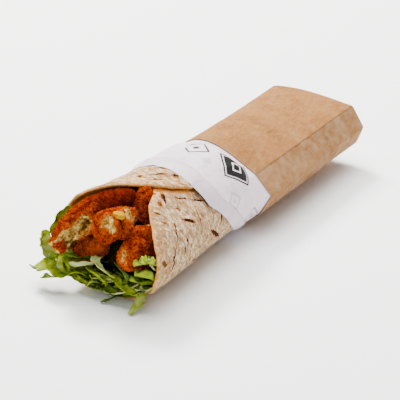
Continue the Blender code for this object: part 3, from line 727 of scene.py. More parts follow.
def make_sleeve():
    ys = np.linspace(SLEEVE_MOUTH_Y, SLEEVE_END_Y, SLEEVE_COLUMNS)
    grid = np.zeros((SLEEVE_AROUND, SLEEVE_COLUMNS, 3))
    wear = np.zeros(grid.shape[:2])
    crease = np.zeros(grid.shape[:2])
    for c, y in enumerate(ys):
        outline = sleeve_outline(y, SLEEVE_PANEL_POINTS)
        closed = np.vstack((outline, outline[:1]))
        steps = np.linalg.norm(np.diff(closed, axis=0), axis=1)
        length = np.concatenate(([0], np.cumsum(steps)))
        where = np.linspace(0, length[-1], SLEEVE_AROUND, endpoint=False)
        points = np.stack([np.interp(where, length, closed[:, k]) for k in (0, 1)], axis=1)
        points = 0.25 * np.roll(points, 1, axis=0) + 0.5 * points + 0.25 * np.roll(points, -1, axis=0)
        grid[:, c, 0], grid[:, c, 1], grid[:, c, 2] = points[:, 0], y, points[:, 1]
        for name, corner in corners_at(y)[1].items():
            away = np.linalg.norm(points - corner, axis=1)
            if name != "TR":
                wear[:, c] = np.maximum(wear[:, c], FOLD_WEAR * bell(away, FOLD_WEAR_WIDTH))
            # The top folds are creased: dented inwards here, and painted darker as shade in the material
            if name[0] == "T":
                crease[:, c] = np.maximum(crease[:, c], bell(away, CREASE_WIDTH))
    tangent = np.roll(grid, -1, axis=0) - np.roll(grid, 1, axis=0)
    normal = np.zeros_like(grid)
    normal[..., 0], normal[..., 2] = -tangent[..., 2], tangent[..., 0]
    normal = unit(normal)
    ripple = BROAD_RIPPLE * lattice(grid * (1, 0.5, 1), 16, 3) + FINE_RIPPLE * lattice(grid, 5, 4)
    x, y, z = (grid[..., k] - PINCH_PLACE[k] for k in range(3))
    pinch = bell(y, PINCH_LENGTH) * bell(np.hypot(x, z), PINCH_WIDTH)
    ripple -= PINCH_DEPTH * pinch * (0.5 + 0.5 * np.cos(grid[..., 1] * 2))
    grid += normal * (ripple - SLEEVE_SINK - CREASE_DEPTH * crease)[..., None]
    wear *= np.clip(0.2 + waves(grid, 5, (1.6, 2.2)), 0, 1)
    end = np.minimum(ys - SLEEVE_MOUTH_Y, SLEEVE_END_Y - ys)
    wear = np.maximum(wear, EDGE_WEAR * bell(end, EDGE_WEAR_WIDTH)[None, :])
    scuffed = np.clip(0.45 + waves(grid, 6, (0.5, 4), (0.3, 1.8)), 0, 1)
    wear = np.maximum(wear, SIDE_WEAR * scuffed * smooth(0.4, 0.8, normal[..., 0]))
    faces = grid_faces(SLEEVE_AROUND, SLEEVE_COLUMNS, True)
    sleeve = mesh_object("card_sleeve", grid, faces, kraft_card(),
                         marks={"wear": wear, "crease": crease})
    dress(solidify(sleeve, CARD), "card", "sleeve")


# Paper liner

def make_liner():
    angles = np.arange(SHEET_START, SHEET_START - 360, -LINER_TURN)
    edge = along_table(PAPER_EDGE, np.where(angles <= PAPER_EDGE[0][0], angles, angles - 360))
    edge += waves(np.stack((angles, 0 * angles, 0 * angles), 1), 8, (0.5, 25))
    span = BLEND_START_Y - edge[:, None]
    depths = np.array(HEM_DEPTHS)[None] * np.minimum(1, span / (HEM_DEPTHS[-1] + 1))
    beyond = depths[:, -1:] + (span - depths[:, -1:]) * np.linspace(0, 1, 20)[None, 1:-1]
    front = edge[:, None] + np.concatenate((depths, beyond), axis=1)
    ys, wide, across = sheet_grid(angles, front, LINER_STATIONS)
    flat = roll(wide, ys, 0.0)
    depth = ys - edge[:, None]
    hem = HEM_STEP * (1 - smooth(HEM_WIDTH - HEM_SOFTNESS, HEM_WIDTH + HEM_SOFTNESS, depth))
    loose = 1 - smooth(*LOOSE_TO, ys)
    crease = 1 - np.abs(lattice(flat * (1, 0.45, 1), 8, 11)) ** 0.6
    puff = loose * (PAPER_CREASE * crease + PAPER_RIPPLE * lattice(flat, 3.5, 12) - PAPER_SINK)
    puff -= loose * EDGE_SINK * (1 - smooth(0, EDGE_SINK_REACH, depth))
    middle_x, middle_z = roll_ellipse(ys)[:2]
    centre = np.stack((middle_x, ys, middle_z), axis=-1)
    grid = flat + unit(flat - centre) * (loose * hem + puff)[..., None]
    grid[..., 2] = np.maximum(grid[..., 2], PAPER_CLEAR)
    end_x, end_z = sleeve_centre(SLEEVE_END_Y)
    last = grid[:, -1]
    caps = []
    for scale, push in END_RINGS:
        pleat = PLEAT_DEPTH * np.cos(np.radians(END_PLEATS * angles)) * scale * (1 - scale)
        cap = np.stack((end_x + (last[:, 0] - end_x) * scale,
                        SLEEVE_END_Y + PAPER_END_REACH * push + pleat,
                        end_z + (last[:, 2] - end_z) * scale), axis=1)
        caps.append(cap[:, None])
    grid = np.concatenate([grid] + caps, axis=1)
    rows, columns = grid.shape[:2]
    faces = grid_faces(rows, columns, True)
    faces.append([r * columns + columns - 1 for r in range(rows)][::-1])
    long = np.concatenate((ys, np.repeat(ys[:, -1:], len(caps), axis=1)), axis=1)
    across = np.repeat(across[:, :1], columns, axis=1)
    uv = np.stack((across, long), axis=-1).reshape(-1, 2) * MM
    liner = mesh_object("paper_wrap", grid, faces, liner_paper(), uv=uv,
                        marks={"depth": long - edge[:, None]})
    dress(solidify(liner, PAPER, even=False), "paper", "paper_liner")


# Tortilla

def sheet_inset(angle, y):
    """How far the sheet's outer face lies inside the roll, with its lip flared at the upper left."""
    turned = smooth(*FLARE_ANGLES[:2], angle) * (1 - smooth(*FLARE_ANGLES[2:], angle))
    flared = FLARE * turned * (1 - smooth(*FLARE_DEPTHS, y))
    tucked = TUCK_DEPTH * smooth(TUCK_NONE, TUCK_FULL, angle)
    return PAPER_ROOM * smooth(*UNDER_PAPER, y) + tucked - flared


def make_tortilla():
    """One rolled sheet with both faces and a rounded front edge, from its tucked end outwards."""
    angles = np.arange(SHEET_START, SHEET_END - 0.1, -SHEET_TURN)
    track = np.stack((angles * 0.55, 0 * angles, 0 * angles), 1)
    edge = along_table(FRONT_EDGE, angles) + waves(track, 21, *EDGE_WAVES)
    share = np.linspace(0, 1, SHEET_COLUMNS) ** 1.2
    front = edge[:, None] + (BLEND_START_Y - edge[:, None]) * share[None, :-1]
    ys, wide, across = sheet_grid(angles, front, SHEET_STATIONS)
    base = sheet_inset(wide, ys)
    base = np.where(ys < BLEND_START_Y, base, np.round(base, 2))
    outer = roll(wide, ys, base)
    inner = roll(wide, ys, base + TORTILLA)
    middle = (outer + inner) / 2
    seen = 1 - smooth(*RELIEF_END, ys)
    depth = ys - edge[:, None]
    lip = smooth(0, LIP_CALM, depth)
    round_edge = np.sqrt(np.clip(1 - (1 - np.clip(depth / LIP_ROUNDING, 0, 1)) ** 2, 0.02, 1))
    flat = np.stack((across + 0.5 * ys, ys - 0.5 * across, wide * 0.05), axis=-1)
    wave = waves(middle, 25, *SHEET_WAVES)
    crinkle = 0
    for (height, size), along, seed in zip(CRINKLES, (0.3, 0.4), (23, 24)):
        folds = np.abs(lattice(flat * (1, along, 1), size, seed))
        crinkle = crinkle + height * (CRINKLE_LEVEL - folds)
    outward = unit(outer - inner)
    half = TORTILLA / 2 * round_edge
    bubbles = waves(middle, 27, BUBBLES)
    outer = middle + outward * (half + seen * (wave + lip * (crinkle + bubbles)) - FACE_SINK)[..., None]
    inner = middle + outward * (seen * wave - half - BACK_SINK)[..., None]
    outer[..., 2] = np.maximum(outer[..., 2], 0.0)
    grid = np.concatenate((outer[:, ::-1], inner), axis=1)[:, ::-1]
    rows, columns = grid.shape[:2]
    faces = grid_faces(rows, columns, closed_columns=True)
    for r, flip in ((0, False), (rows - 1, True)):
        for k in range(columns // 2 - 1):
            a, b = r * columns + k, r * columns + columns - 1 - k
            face = (a, a + 1, b - 1, b)
            faces.append(face[::-1] if flip else face)
    greasy = bell(depth, GREASE_REACH) * np.clip(0.15 + waves(middle, 28, (0.5, 7)), 0, 1)
    greasy = np.maximum(greasy, 0.18 * bell(depth, FAINT_REACH))
    rim = bell(depth, RIM_REACH) * (0.6 + waves(middle, 29, (0.3, 4)))
    rim *= 0.3 + 0.7 * smooth(8, 24, middle[..., 2])
    # Painted shadow, partly golden stain, on the right flap just under the top flap's lip
    lip_gap = along_table(FRONT_EDGE, wide - 360) - ys
    under_lip = 0.8 * smooth(44, 56, wide) * (1 - smooth(1, 9, lip_gap))
    top_side = np.maximum(np.maximum(greasy, rim), under_lip)
    inside = np.maximum(0.75 * bell(depth, INSIDE_REACH) + waves(middle, 30, (0.15, 6)), rim)
    stain_and_shadow, long, round_sheet = (np.concatenate((front_face[:, ::-1], back_face), axis=1)[:, ::-1]
                                for front_face, back_face in ((top_side, inside), (ys, ys),
                                                              (across, across + 300)))
    uv = np.stack((round_sheet, long), axis=-1).reshape(-1, 2) * MM
    sheet = mesh_object("tortilla_sheet", grid, faces, flatbread(), uv=uv,
                        marks={"stain_and_shadow": np.clip(stain_and_shadow, 0, 1)})
    dress(sheet, "flatbread", "tortilla")


# Crumbed pieces

# Places where the crust is broken and the mash shows: centre, radius, extra depth and paleness
BROKEN = {
    "falafel_centre": (((1.4, -116.9, 48.6), 5, 1, 1), ((2.8, -116, 45.2), 3.4, 0.6, 0.9),
                       ((3.4, -99.6, 48.4), 4.6, 0.5, 0.7), ((4.8, -97.6, 43.6), 3.6, 0.4, 0.6)),
    "falafel_left": (((-18, -109.6, 40), 5.4, 5.2, 0.9), ((-29, -121.4, 26.6), 2.2, 0.3, 0.9)),
    "falafel_right": (((8.4, -116.3, 33.2), 3.6, 0.5, 0.7), ((9, -116.6, 29.4), 2.4, 0.3, 0.5),
                      ((5.2, -88.6, 37.8), 3, 0.2, 0.9)),
    "falafel_lower": (((-20.1, -104.3, 25.6), 2, 0.3, 0.4),),
}
# The long piece's broken flank: a point on the crust's torn edge, the way that faces it, and depth
FLANK = {"falafel_left": ((-24.1, -114.6, 40.4), (0.68, -0.02, -0.73), 2.4)}
FLANK_BACK_Y = -106
FLANK_HEIGHT = 6
FLANK_TIP = (-27.6, -119.7, 29)
FLANK_TIP_SIZE = 4.6
# Painted shade and painted light on the crust: centre, radius and darkness. Above zero it is painted shade
# under the lip and deep in the mouth; below zero it is golden, as painted light on crust that lies in shade
CRUST_SHADE_AND_LIGHT = {
    "falafel_left": (((-13.8, -92.1, 50.7), 15, 1), ((-9.9, -82.7, 48.6), 14, 1),
                     ((-25, -110, 42), 16, 0.3)),
    "falafel_right": (((14, -106, 35.7), 11, 0.6),),
    "falafel_back": (((-6, -84, 47), 8, 0.6),),
    "falafel_centre": (((0, -115, 50), 12, 0.15), ((3.7, -102.4, 41.8), 9, -0.3)),
    "falafel_lower": (((-17, -103, 23.6), 16, -0.6),),
}
# Where neighbours press against each other: centre, radius and how far the crust is drawn across
LEANING = {
    "falafel_left": (((-9.9, -82.7, 48.6), 13, (5, 1, 2)),),
    "falafel_back": (((-7, -84, 43), 8, (-1.6, -0.5, 0.4)),
                     ((-1, -82, 50), 10, (0.8, 0.2, 1.6)),
                     ((1, -82, 38), 8, (0.5, -0.6, -2.6))),
    "falafel_centre": (((2.5, -103, 40.6), 8, (1.6, -0.4, -2.8)),),
    "falafel_right": (((4.2, -100.1, 35.7), 8, (-1.6, -0.6, 2.2)),
                      ((9.5, -96, 38), 8, (0, -0.6, 2.6))),
}
CRUMB_MESH = 0.33
CRUMB_EASE = 14
# Relief of crust and mash: size of two sets of cells, then noise as depth and size
GRAIN_SIZE = 1.25
FINE_GRAIN_SIZE = 0.75
CHUNK_SIZE = 2.4
GRAIN_DEPTH = 0.5
FINE_GRAIN_DEPTH = 0.25
CHUNK_DEPTH = 1.1
PITS = (0.28, 1.6)
FINE_PITS = (0.12, 0.9)
LUMPS = ((0.45, 8), (0.25, 3.6))
BREAK_EDGE = ((0.3, 2.8), (0.15, 1.1))
# Loose crumbs: their share of the points, an eight-sided blank, its size range, stretch and seat
GRAIN_SHARE = 0.072
BLANK = np.array([(1, 0, 0), (-1, 0, 0), (0, 1, 0), (0, -1, 0), (0, 0, 1), (0, 0, -1)], float)
BLANK_SIDES = np.array([(0, 2, 4), (2, 1, 4), (1, 3, 4), (3, 0, 4),
                        (2, 0, 5), (1, 2, 5), (3, 1, 5), (0, 3, 5)])
BLANK_SIZE = (0.28, 0.62)
BLANK_STRETCH = (0.6, 1.3)
BLANK_SEAT = 0.12
# The kernel: its mesh, the planes that flatten it, measured from its middle, and its crease
KERNEL_MESH = 0.25
KERNEL_EASE = 4
KERNEL_DEPTH = 2
KERNEL_TOP = 1.25
KERNEL_SIDE = 2.1
KERNEL_CREASE = 0.45
KERNEL_CREASE_WIDTH = 0.6


def rounded_copy(node, size, levels):
    """A smooth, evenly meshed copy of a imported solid: points in millimetres, normals and faces."""
    obj = bpy.data.objects.new("blank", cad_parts[node].data.copy())
    bpy.context.scene.collection.objects.link(obj)
    grid = obj.modifiers.new("Grid", "REMESH")
    grid.mode = "VOXEL"
    grid.voxel_size = size * MM
    ease = obj.modifiers.new("Ease", "SMOOTH")
    ease.factor = 0.5
    ease.iterations = levels
    graph = bpy.context.evaluated_depsgraph_get()
    result = bpy.data.meshes.new_from_object(obj.evaluated_get(graph))
    read = {}
    for key in ("co", "normal"):
        values = np.empty(len(result.vertices) * 3)
        result.vertices.foreach_get(key, values)
        read[key] = values.reshape(-1, 3)
    faces = [tuple(face.vertices) for face in result.polygons]
    bpy.data.objects.remove(obj, do_unlink=True)
    return to_wrap(read["co"]), read["normal"], faces


def crumb_grains(points, normals, chance, rng):
    """Small angular crumbs over a surface, as points, faces, heights and the places they stick to."""
    chosen = np.flatnonzero(rng.uniform(0, 1, len(points)) < chance)
    count = len(chosen)
    turn = np.linalg.qr(rng.normal(size=(count, 3, 3)))[0]
    size = rng.uniform(*BLANK_SIZE, (count, 1, 1)) * rng.uniform(*BLANK_STRETCH, (count, 1, 3))
    bodies = np.einsum("kij,klj->kli", turn, BLANK[None] * size)
    bodies += rng.normal(0, 0.06, bodies.shape)
    bodies += (points[chosen] + normals[chosen] * BLANK_SEAT)[:, None]
    faces = (BLANK_SIDES[None] + len(BLANK) * np.arange(count)[:, None, None]).reshape(-1, 3)
    heights = np.repeat(rng.uniform(0.45, 1.0, count), len(BLANK))
    return bodies.reshape(-1, 3), faces, heights, chosen


def make_crumbed(node, seed, finish):
    points, normals, faces = rounded_copy(node, CRUMB_MESH, CRUMB_EASE)
    mash, rim, dent, shade_and_light = np.zeros((4, len(points)))
    for centre, radius, way in LEANING.get(node, ()):
        points = points + nearness(points, centre, radius, 0.2)[:, None] * way
    if node in FLANK:
        edge, facing, depth = FLANK[node]
        side = (points - edge) @ facing + 1.2 * lattice(points, 3.2, seed + 13)
        front = 1 - smooth(FLANK_BACK_Y - 2, FLANK_BACK_Y, points[:, 1])
        front = front * (1 - nearness(points, FLANK_TIP, FLANK_TIP_SIZE, 0.75))
        mash = smooth(0.2, 0.8, side) * front
        dent = (depth + 1.8 * smooth(0.3, 1.0, side / FLANK_HEIGHT)) * smooth(0.2, 2.0, side) * front
        rim = 0.4 * smooth(-1.2, -0.2, side) * front * (1 - mash)
    for centre, radius, depth, pale in BROKEN.get(node, ()):
        away = np.linalg.norm(points - centre, axis=1) / radius + waves(points, seed + 1, *BREAK_EDGE)
        mash = np.maximum(mash, pale * (1 - smooth(0.8, 1.0, away)))
        dent = np.maximum(dent, depth * (1 - smooth(0.5, 1.0, away)))
        rim = np.maximum(rim, smooth(0.85, 1.0, away) * (1 - smooth(1.05, 1.45, away)))
    grains = 1 - np.clip(cells(points, GRAIN_SIZE, seed + 3), 0, 1) ** 2
    fine = 1 - np.clip(cells(points, FINE_GRAIN_SIZE, seed + 4), 0, 1) ** 2
    relief = GRAIN_DEPTH * (grains - 0.5) + FINE_GRAIN_DEPTH * (fine - 0.5)
    relief = relief + waves(points, seed + 5, PITS) + waves(points, seed + 8, FINE_PITS)
    chunks = CHUNK_DEPTH * (0.5 - cells(points, CHUNK_SIZE, seed + 9))
    chunks += waves(points, seed + 10, (0.3, 1.2))
    lumps = waves(points, seed + 6, *LUMPS)
    move = (1 - mash) * (lumps + relief) + mash * chunks - dent
    # Relief height for the colour: low for painted shade in the pits, high for painted highlights on the
    # grains
    height = np.clip(0.42 + 0.9 * relief + 0.12 * lattice(points, 0.8, seed + 11), 0, 1)
    points = points + normals * move[:, None]
    chance = GRAIN_SHARE * (1 - mash) * (0.6 + 0.8 * (lattice(points, 5, seed + 12) > -0.2))
    more, sides, heights, chosen = crumb_grains(points, normals, chance, np.random.default_rng(seed))
    # Painted shade on the mash where the dents are deepest
    deep = smooth(2.4, 4.4, dent) * np.clip(0.55 + 0.9 * lattice(points, 2.6, seed + 14), 0, 1)
    # Painted shade and painted light on the crust, by place
    for centre, radius, dark in CRUST_SHADE_AND_LIGHT.get(node, ()):
        shade_and_light += dark * nearness(points, centre, radius)
    shade_and_light = np.clip(shade_and_light, -1, 1)
    none = np.zeros(len(more))
    marks = {key: np.concatenate(values) for key, values in {
        "mash": (mash, none), "height": (height, heights), "rim": (rim, none), "dent": (deep, none),
        "shade_and_light": (shade_and_light, np.repeat(shade_and_light[chosen], len(BLANK)))}.items()}
    faces += (sides + len(points)).tolist()
    piece = mesh_object(node + "_crumb", np.concatenate((points, more)), faces, finish, marks=marks)
    dress(piece, "fried_crumb", node)


def make_kernel():
    """The kernel, a flattened wedge with a crease along its top and squared sides."""
    points, normals, faces = rounded_copy("sweetcorn", KERNEL_MESH, KERNEL_EASE)
    middle = points.mean(axis=0)
    place = points - middle
    crease = KERNEL_CREASE * bell(place[:, 1], KERNEL_CREASE_WIDTH) * smooth(-3, 0, place[:, 0])
    place[:, 2] = np.clip(place[:, 2], -KERNEL_DEPTH, KERNEL_TOP) - crease
    place[:, 1] = np.clip(place[:, 1], -KERNEL_SIDE, KERNEL_SIDE)
    place += normals * 0.14 * lattice(points, 1.4, 91)[:, None]
    dress(mesh_object("corn_kernel", middle + place, faces, corn_skin()), "corn", "sweetcorn")


# Lettuce

# Leaves: path, width, which way is up, bow, ruffle and tone from rib to deep blade
LEAVES = (
    (((-12, -90, 8), (-24, -105, 11.5), (-36, -113, 13), (-49, -112, 10)), 15, (0, 0.1, 1), 0.2, 1.5, 0.42),
    (((-10, -94, 8), (-22, -107, 10), (-32, -114, 9), (-42, -115, 6)), 9, (0, 0.3, 1), 0.3, 1.1, 0.6),
    (((-14, -96, 14), (-26, -108, 19), (-34, -112, 20), (-38, -113, 17)), 8, (0, 0.3, 1), 0.3, 0.9, 0.7),
    (((-26, -86, 22), (-39.5, -103, 28), (-37.5, -104, 37), (-32.5, -102, 44)), 8, (1, -0.5, 0.2),
     0.3, 0.7, 0.4),
    (((-28, -88, 14), (-41, -104, 15), (-45, -106, 22), (-44, -108, 30)), 7, (1, -0.6, 0.2), 0.4, 0.9, 0.25),
    (((19, -98, 24), (23.2, -109, 28), (22.6, -114.5, 31.5), (16.5, -118, 30)), 9, (-0.3, 0.6, 1),
     0.5, 1.3, 0.36),
    (((18, -98, 16), (25, -109, 20), (23, -114, 23), (16.5, -117.5, 24.5)), 10, (-0.2, 0.6, 1),
     0.5, 1.3, 0.42),
    (((8, -92, 9), (15, -103, 14), (19, -111, 17), (12, -115, 19)), 8, (0, 0.6, 1), 0.5, 1.2, 0.6),
    (((-8, -88, 8), (-12, -102, 9), (-14, -110, 9)), 10, (0, 0, 1), 0.5, 1.6, 0.85),
    (((4, -88, 8), (6, -102, 11), (7, -110, 12)), 10, (0, 0, 1), 0.6, 1.6, 0.9),
)
# Strips: path, width, tone, bow and twist. The last ones reach past the lip to the table
STRIPS = (
    (((-29, -103, 10), (-26.6, -110, 14.8), (-21.5, -112, 17.2), (-14.5, -108, 18)), 6.0, -0.1, 0.4, 0.3),
    (((-14, -103, 20), (-11.5, -111, 22), (-5.5, -113, 19), (1.5, -111, 14)), 5.0, 0.1, 0.3, 0.4),
    (((-2, -104, 20), (3, -111, 22.5), (9, -113, 17.5), (6, -111, 11)), 6.0, 0.95, 0.6, 0.9),
    (((-12, -107, 7), (-3, -112, 6), (6.5, -113.5, 9), (14.5, -110.5, 15)), 3.2, -0.05, 0.2, 0.4),
    (((22, -104, 22), (24.4, -111, 26), (24.8, -113.5, 29.5), (23.6, -111, 33)), 3.0, -0.1, 0.3, 0.4),
    (((-20, -104, 12), (-14, -112, 16), (-6, -113, 13), (-4, -110, 7)), 3.6, 0.45, 0.5, 0.8),
    (((-6, -104, 12), (2, -112, 15), (10, -114, 12), (15, -111, 8)), 3.8, 0.4, 0.5, -0.8),
    (((8, -92, 10), (14, -106, 10), (16, -112, 6), (14, -119, 1.0)), 5.5, 0.22, 0.2, 0.2),
    (((0, -102, 6), (3, -109, 6), (-2, -113, 2.6), (-6, -115, 1.0)), 3.0, 0.7, 0.3, 0.5),
)
TO_TABLE = 2
# Curled shreds: how many, where they lie in the mouth, half lengths, arches, widths and the rest
CURLS = 46
CURL_LEFT = -27
CURL_FRONT = -108
CURL_DEPTH = 4.5
CURL_HALVES = (4, 10)
CURL_ARCHES = (-1, 5)
CURL_SPREAD = 46
CURL_WIDTHS = (2.0, 4.4)
CURL_RUFFLES = (0.3, 1.2)
CURL_TWIST = 2.2
CURL_TONES = [0.0, 0.2, 0.3, 0.45, 0.7, 0.9, 1.0]
LIP_CLEAR = 2.4
LIP_SLOPE = 0.42
WALL_CLEAR = 0.9
BEHIND_EDGE = (-2.5, -0.5)
OVERLAP = (50, 110)
LEAF_THICK = 0.5
LEAF_ROWS = 52
LEAF_COLUMNS = 17
SHRED_COLUMNS = 9
# A leaf's texture places: half its width, one row, and the step from leaf to leaf
LEAF_PLACES = (0.004, 0.001, 0.01)
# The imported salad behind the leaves: places along the roll and its height there
SALAD_STATIONS = ((-99, 8), (-94, 13), (-86, 20), (-76, 27), (-66, 33), (-54, 54), (-30, 60),
                  (-17, 60), (-2.6, 60), (40, 60), (94, 60))
SALAD_TURN = 6


def spline(points, count):
    """Points of a smooth curve through the given ones."""
    points = [np.array(p, float) for p in points]
    points = [2 * points[0] - points[1]] + points + [2 * points[-1] - points[-2]]
    spans = len(points) - 3
    found = []
    for i in range(count):
        s = min(i / (count - 1) * spans, spans - 1e-6)
        k, t = int(s), s - int(s)
        a, b, c, d = points[k:k + 4]
        found.append(0.5 * (2 * b + (c - a) * t + (2 * a - 5 * b + 4 * c - d) * t * t
                            + (3 * b - a - 3 * c + d) * t ** 3))
    return np.array(found)


def ribbon(path, width, rng, up=(0, 0.2, 1), bow=0.3, ruffle=0.4, twist=0.0, taper=0.6, tooth=0.15,
           count=30, across=7):
    """A curled strip of leaf along a path, as a grid of points."""
    line = spline(path, count)
    ahead = unit(np.gradient(line, axis=0))
    side = unit(np.cross(ahead, up))
    lift = np.cross(side, ahead)
    u = np.linspace(0, 1, count)
    turn = twist * u + rng.uniform(-0.4, 0.4)
    side, lift = (np.cos(turn)[:, None] * side + np.sin(turn)[:, None] * lift,
                  np.cos(turn)[:, None] * lift - np.sin(turn)[:, None] * side)
    v = np.linspace(-1, 1, across)
    span = width / 2 * (1 - taper * u ** 3)
    span *= 1 + 0.12 * np.sin(rng.uniform(5, 9) * u + rng.uniform(0, 6))
    ragged = 1 + tooth * lattice(line, 1.6, int(rng.integers(999)))
    phase, turns = rng.uniform(0, 6), rng.uniform(2.5, 5.0)
    edge = ruffle * np.sin(2 * pi * turns * u[:, None] + phase + 1.3 * v[None]) * np.abs(v[None]) ** 1.5
    rise = bow * width / 2 * (v[None] ** 2 - 0.3) + edge
    reach = span[:, None] * v[None] * np.where(np.abs(v[None]) > 0.9, ragged[:, None], 1)
    return line[:, None] + side[:, None] * reach[..., None] + lift[:, None] * rise[..., None]


def keep_in_roll(grid):
    """Draws points in to the tortilla's inner face where they are behind its front edge."""
    points = grid.reshape(-1, 3).copy()
    x, z, a, b = roll_ellipse(points[:, 1])
    angle = np.degrees(np.arctan2((points[:, 2] - z) / b, (points[:, 0] - x) / a))
    turned = np.where(angle > OVERLAP[0], angle - 360, angle)
    lip = along_table(FRONT_EDGE, turned)
    second = np.where((angle > OVERLAP[0]) & (angle < SHEET_START), along_table(FRONT_EDGE, angle), lip)
    lip = np.minimum(lip, second)
    layers = TORTILLA + WALL_CLEAR + np.where((angle > TUCK_NONE) & (angle < OVERLAP[1]), TUCK_DEPTH, 0)
    wall = roll(angle, np.minimum(points[:, 1], BLEND_START_Y - 0.1), layers)
    limit = np.hypot(wall[:, 0] - x, wall[:, 2] - z)
    reach = np.hypot(points[:, 0] - x, points[:, 2] - z)
    behind = smooth(*BEHIND_EDGE, points[:, 1] - lip)
    share = np.where(reach > limit, limit / np.maximum(reach, 1e-6), 1)
    share = 1 - behind * (1 - share)
    points[:, 0] = x + (points[:, 0] - x) * share
    points[:, 2] = z + (points[:, 2] - z) * share
    return points.reshape(grid.shape)


def above_lip(grid):
    """Lifts points that reach out over the lower lip, more the further they reach."""
    x, z, a, b = roll_ellipse(np.full(grid.shape[:2], ROLL_AT_MOUTH["y"]))
    share = np.clip((grid[..., 0] - x) / a, -0.97, 0.97)
    lip = along_table(FRONT_EDGE, -np.degrees(np.arccos(share)))
    low = np.maximum(z - b * np.sqrt(1 - share ** 2), 0) + LIP_CLEAR
    low += LIP_SLOPE * np.maximum(lip - grid[..., 1], 0)
    grid[..., 2] = np.maximum(grid[..., 2], low)
    return grid


def joined_sheets(name, sheets, finish, thickness):
    """Many thin grids as one object. Each sheet is its grid and its tone from rib to blade."""
    points, faces, uvs, tones = [], [], [], []
    start = 0
    for grid, tone in sheets:
        rows, columns = grid.shape[:2]
        points.append(grid.reshape(-1, 3))
        faces += grid_faces(rows, columns, start=start)
        half, row, step = LEAF_PLACES
        u, v = np.meshgrid(np.linspace(-1, 1, columns) * half, np.arange(rows) * row)
        uvs.append(np.stack((u + start * step, v), axis=-1).reshape(-1, 2))
        middle = np.linspace(-1, 1, columns)[None, :] ** 2 * np.ones((rows, 1))
        tones.append((tone * (0.75 + 0.25 * middle)).ravel())
        start += rows * columns
    obj = mesh_object(name, np.concatenate(points), faces, finish, uv=np.concatenate(uvs),
                      marks={"tone": np.concatenate(tones)})
    return solidify(obj, thickness, 0.0, even=False)


def make_lettuce():
    rng = np.random.default_rng(5)
    finish = leaf_green()
    leaves = []
    for path, width, up, bow, ruffle, tone in LEAVES:
        grid = ribbon(path, width, rng, up=up, bow=bow, ruffle=ruffle, taper=0.45, tooth=0.3,
                      count=LEAF_ROWS, across=LEAF_COLUMNS)
        leaves.append((keep_in_roll(grid), tone))
    dress(joined_sheets("lettuce_leaves", leaves, finish, LEAF_THICK), "lettuce", "lettuce")
    shreds = []
    for i, (path, width, tone, bow, twist) in enumerate(STRIPS):
        grid = ribbon(path, width, rng, bow=bow, twist=twist, ruffle=0.3, across=SHRED_COLUMNS)
        grid = keep_in_roll(grid)
        shreds.append((grid if i >= len(STRIPS) - TO_TABLE else above_lip(grid), tone))
    for i in range(CURLS):
        u = (i + rng.uniform(-0.5, 0.5)) / (CURLS - 1)
        x = CURL_LEFT + CURL_SPREAD * u
        top = 8.5 + 5.5 * u + 3 * np.sin(3.2 * u)
        z = rng.uniform(1, top)
        half = rng.choice((-1, 1)) * rng.uniform(*CURL_HALVES)
        arch = rng.uniform(*CURL_ARCHES)
        y = CURL_FRONT - rng.uniform(0, CURL_DEPTH)
        path = [(x - half, -100, z - 2), (x - 0.5 * half, y + 1.5, z + arch),
                (x + 0.5 * half, y - 1, z + arch * rng.uniform(0.2, 1)),
                (x + half * rng.uniform(0.8, 1.3), y + rng.uniform(0, 4), z - rng.uniform(0, 5))]
        tone = rng.choice(CURL_TONES)
        grid = ribbon(path, rng.uniform(*CURL_WIDTHS), rng, bow=rng.uniform(0.3, 1.1),
                      ruffle=rng.uniform(*CURL_RUFFLES), twist=rng.uniform(-CURL_TWIST, CURL_TWIST),
                      across=SHRED_COLUMNS)
        shreds.append((above_lip(keep_in_roll(grid)), tone))
    dress(joined_sheets("lettuce_shreds", shreds, finish, LEAF_THICK), "lettuce", "lettuce")


def make_salad_plug():
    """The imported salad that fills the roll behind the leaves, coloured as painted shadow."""
    angles = np.arange(0.0, -360, -SALAD_TURN)
    rings = []
    for y, height in SALAD_STATIONS:
        inset = sheet_inset(-90, y) + TORTILLA + 1.2
        ring = roll(angles, np.full_like(angles, y), inset + TUCK_DEPTH)
        low, high = ring[:, 2].min(), ring[:, 2].max()
        ring[:, 2] = low + (ring[:, 2] - low) * min(height / (high - low), 1)
        rings.append(ring)
    grid = keep_in_roll(np.stack(rings, axis=1))
    middle = grid.mean(axis=0)[None]
    grid = middle + (grid - middle) * (0.97 + 0.05 * lattice(grid, 6, 31))[..., None]
    rows, columns = grid.shape[:2]
    faces = grid_faces(rows, columns, True)
    faces.append([r * columns + columns - 1 for r in range(rows)][::-1])
    faces.append([r * columns for r in range(rows)])
    dress(mesh_object("salad_plug", grid, faces, painted_shadow_salad()), "lettuce", "lettuce")


# Stage, light and camera

CAMERA_AZIMUTH = 30.5
CAMERA_ELEVATION = 26.0
CAMERA_DISTANCE = 1464.0
CAMERA_TARGET = (-13.84, 0.0, 9.65)
CAMERA_LENS = 238.5
FLOOR_SIZE = 6
FLOOR_SHADE = 0.96
SKY_POWER = 0.4
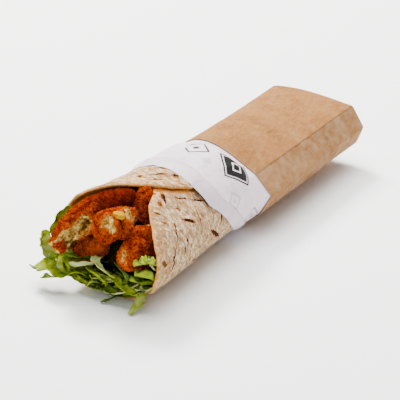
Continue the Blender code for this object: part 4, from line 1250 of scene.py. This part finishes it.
# Area lights: name, place in metres, size, power and colour
LIGHTS = (
    ("key", (-0.78, 0.55, 1.1), 0.4, 60, (1, 0.98, 0.95)),
    ("overhead", (-0.1, 0.15, 1.5), 1.4, 62, (1, 1, 1)),
    ("fill", (0.4, -1.3, 0.8), 0.9, 7, (1, 1, 1)),
)


def make_stage():
    bpy.ops.mesh.primitive_plane_add(size=FLOOR_SIZE)
    floor = bpy.context.object
    floor.name = "floor"
    floor.location.z = SHIFT.z
    finish = Finish("floor_white", 0.8, 0.1)
    finish.colour((FLOOR_SHADE, FLOOR_SHADE, FLOOR_SHADE, 1))
    floor.data.materials.append(finish.material)


def make_light():
    """Soft area lights that face the wrap, and an even white sky."""
    world = bpy.data.worlds.new("studio")
    world.use_nodes = True
    sky = world.node_tree.nodes["Background"].inputs
    sky["Color"].default_value = (1, 1, 1, 1)
    sky["Strength"].default_value = SKY_POWER
    bpy.context.scene.world = world
    for name, place, size, power, colour in LIGHTS:
        light = bpy.data.lights.new(name, "AREA")
        light.energy = power
        light.size = size
        light.color = colour
        obj = bpy.data.objects.new(name, light)
        obj.location = place
        obj.rotation_euler = (-Vector(place)).to_track_quat("-Z", "Y").to_euler()
        bpy.context.scene.collection.objects.link(obj)


def make_camera():
    azimuth, elevation = radians(CAMERA_AZIMUTH), radians(CAMERA_ELEVATION)
    back = Vector((sin(azimuth) * cos(elevation), -cos(azimuth) * cos(elevation), sin(elevation)))
    target = Vector(to_world(CAMERA_TARGET))
    data = bpy.data.cameras.new("view")
    data.lens = CAMERA_LENS
    data.clip_end = 20
    camera = bpy.data.objects.new("view", data)
    camera.location = target + back * CAMERA_DISTANCE * MM
    camera.rotation_euler = back.to_track_quat("Z", "Y").to_euler()
    bpy.context.scene.collection.objects.link(camera)
    bpy.context.scene.camera = camera


def make_wrap():
    make_sleeve()
    make_liner()
    make_tortilla()
    finish = fried_crumb()
    names = sorted(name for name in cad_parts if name.startswith("falafel_"))
    for i, name in enumerate(names):
        make_crumbed(name, 100 * i + 40, finish)
    make_kernel()
    make_lettuce()
    make_salad_plug()


make_stage()
make_light()
make_camera()
make_wrap()
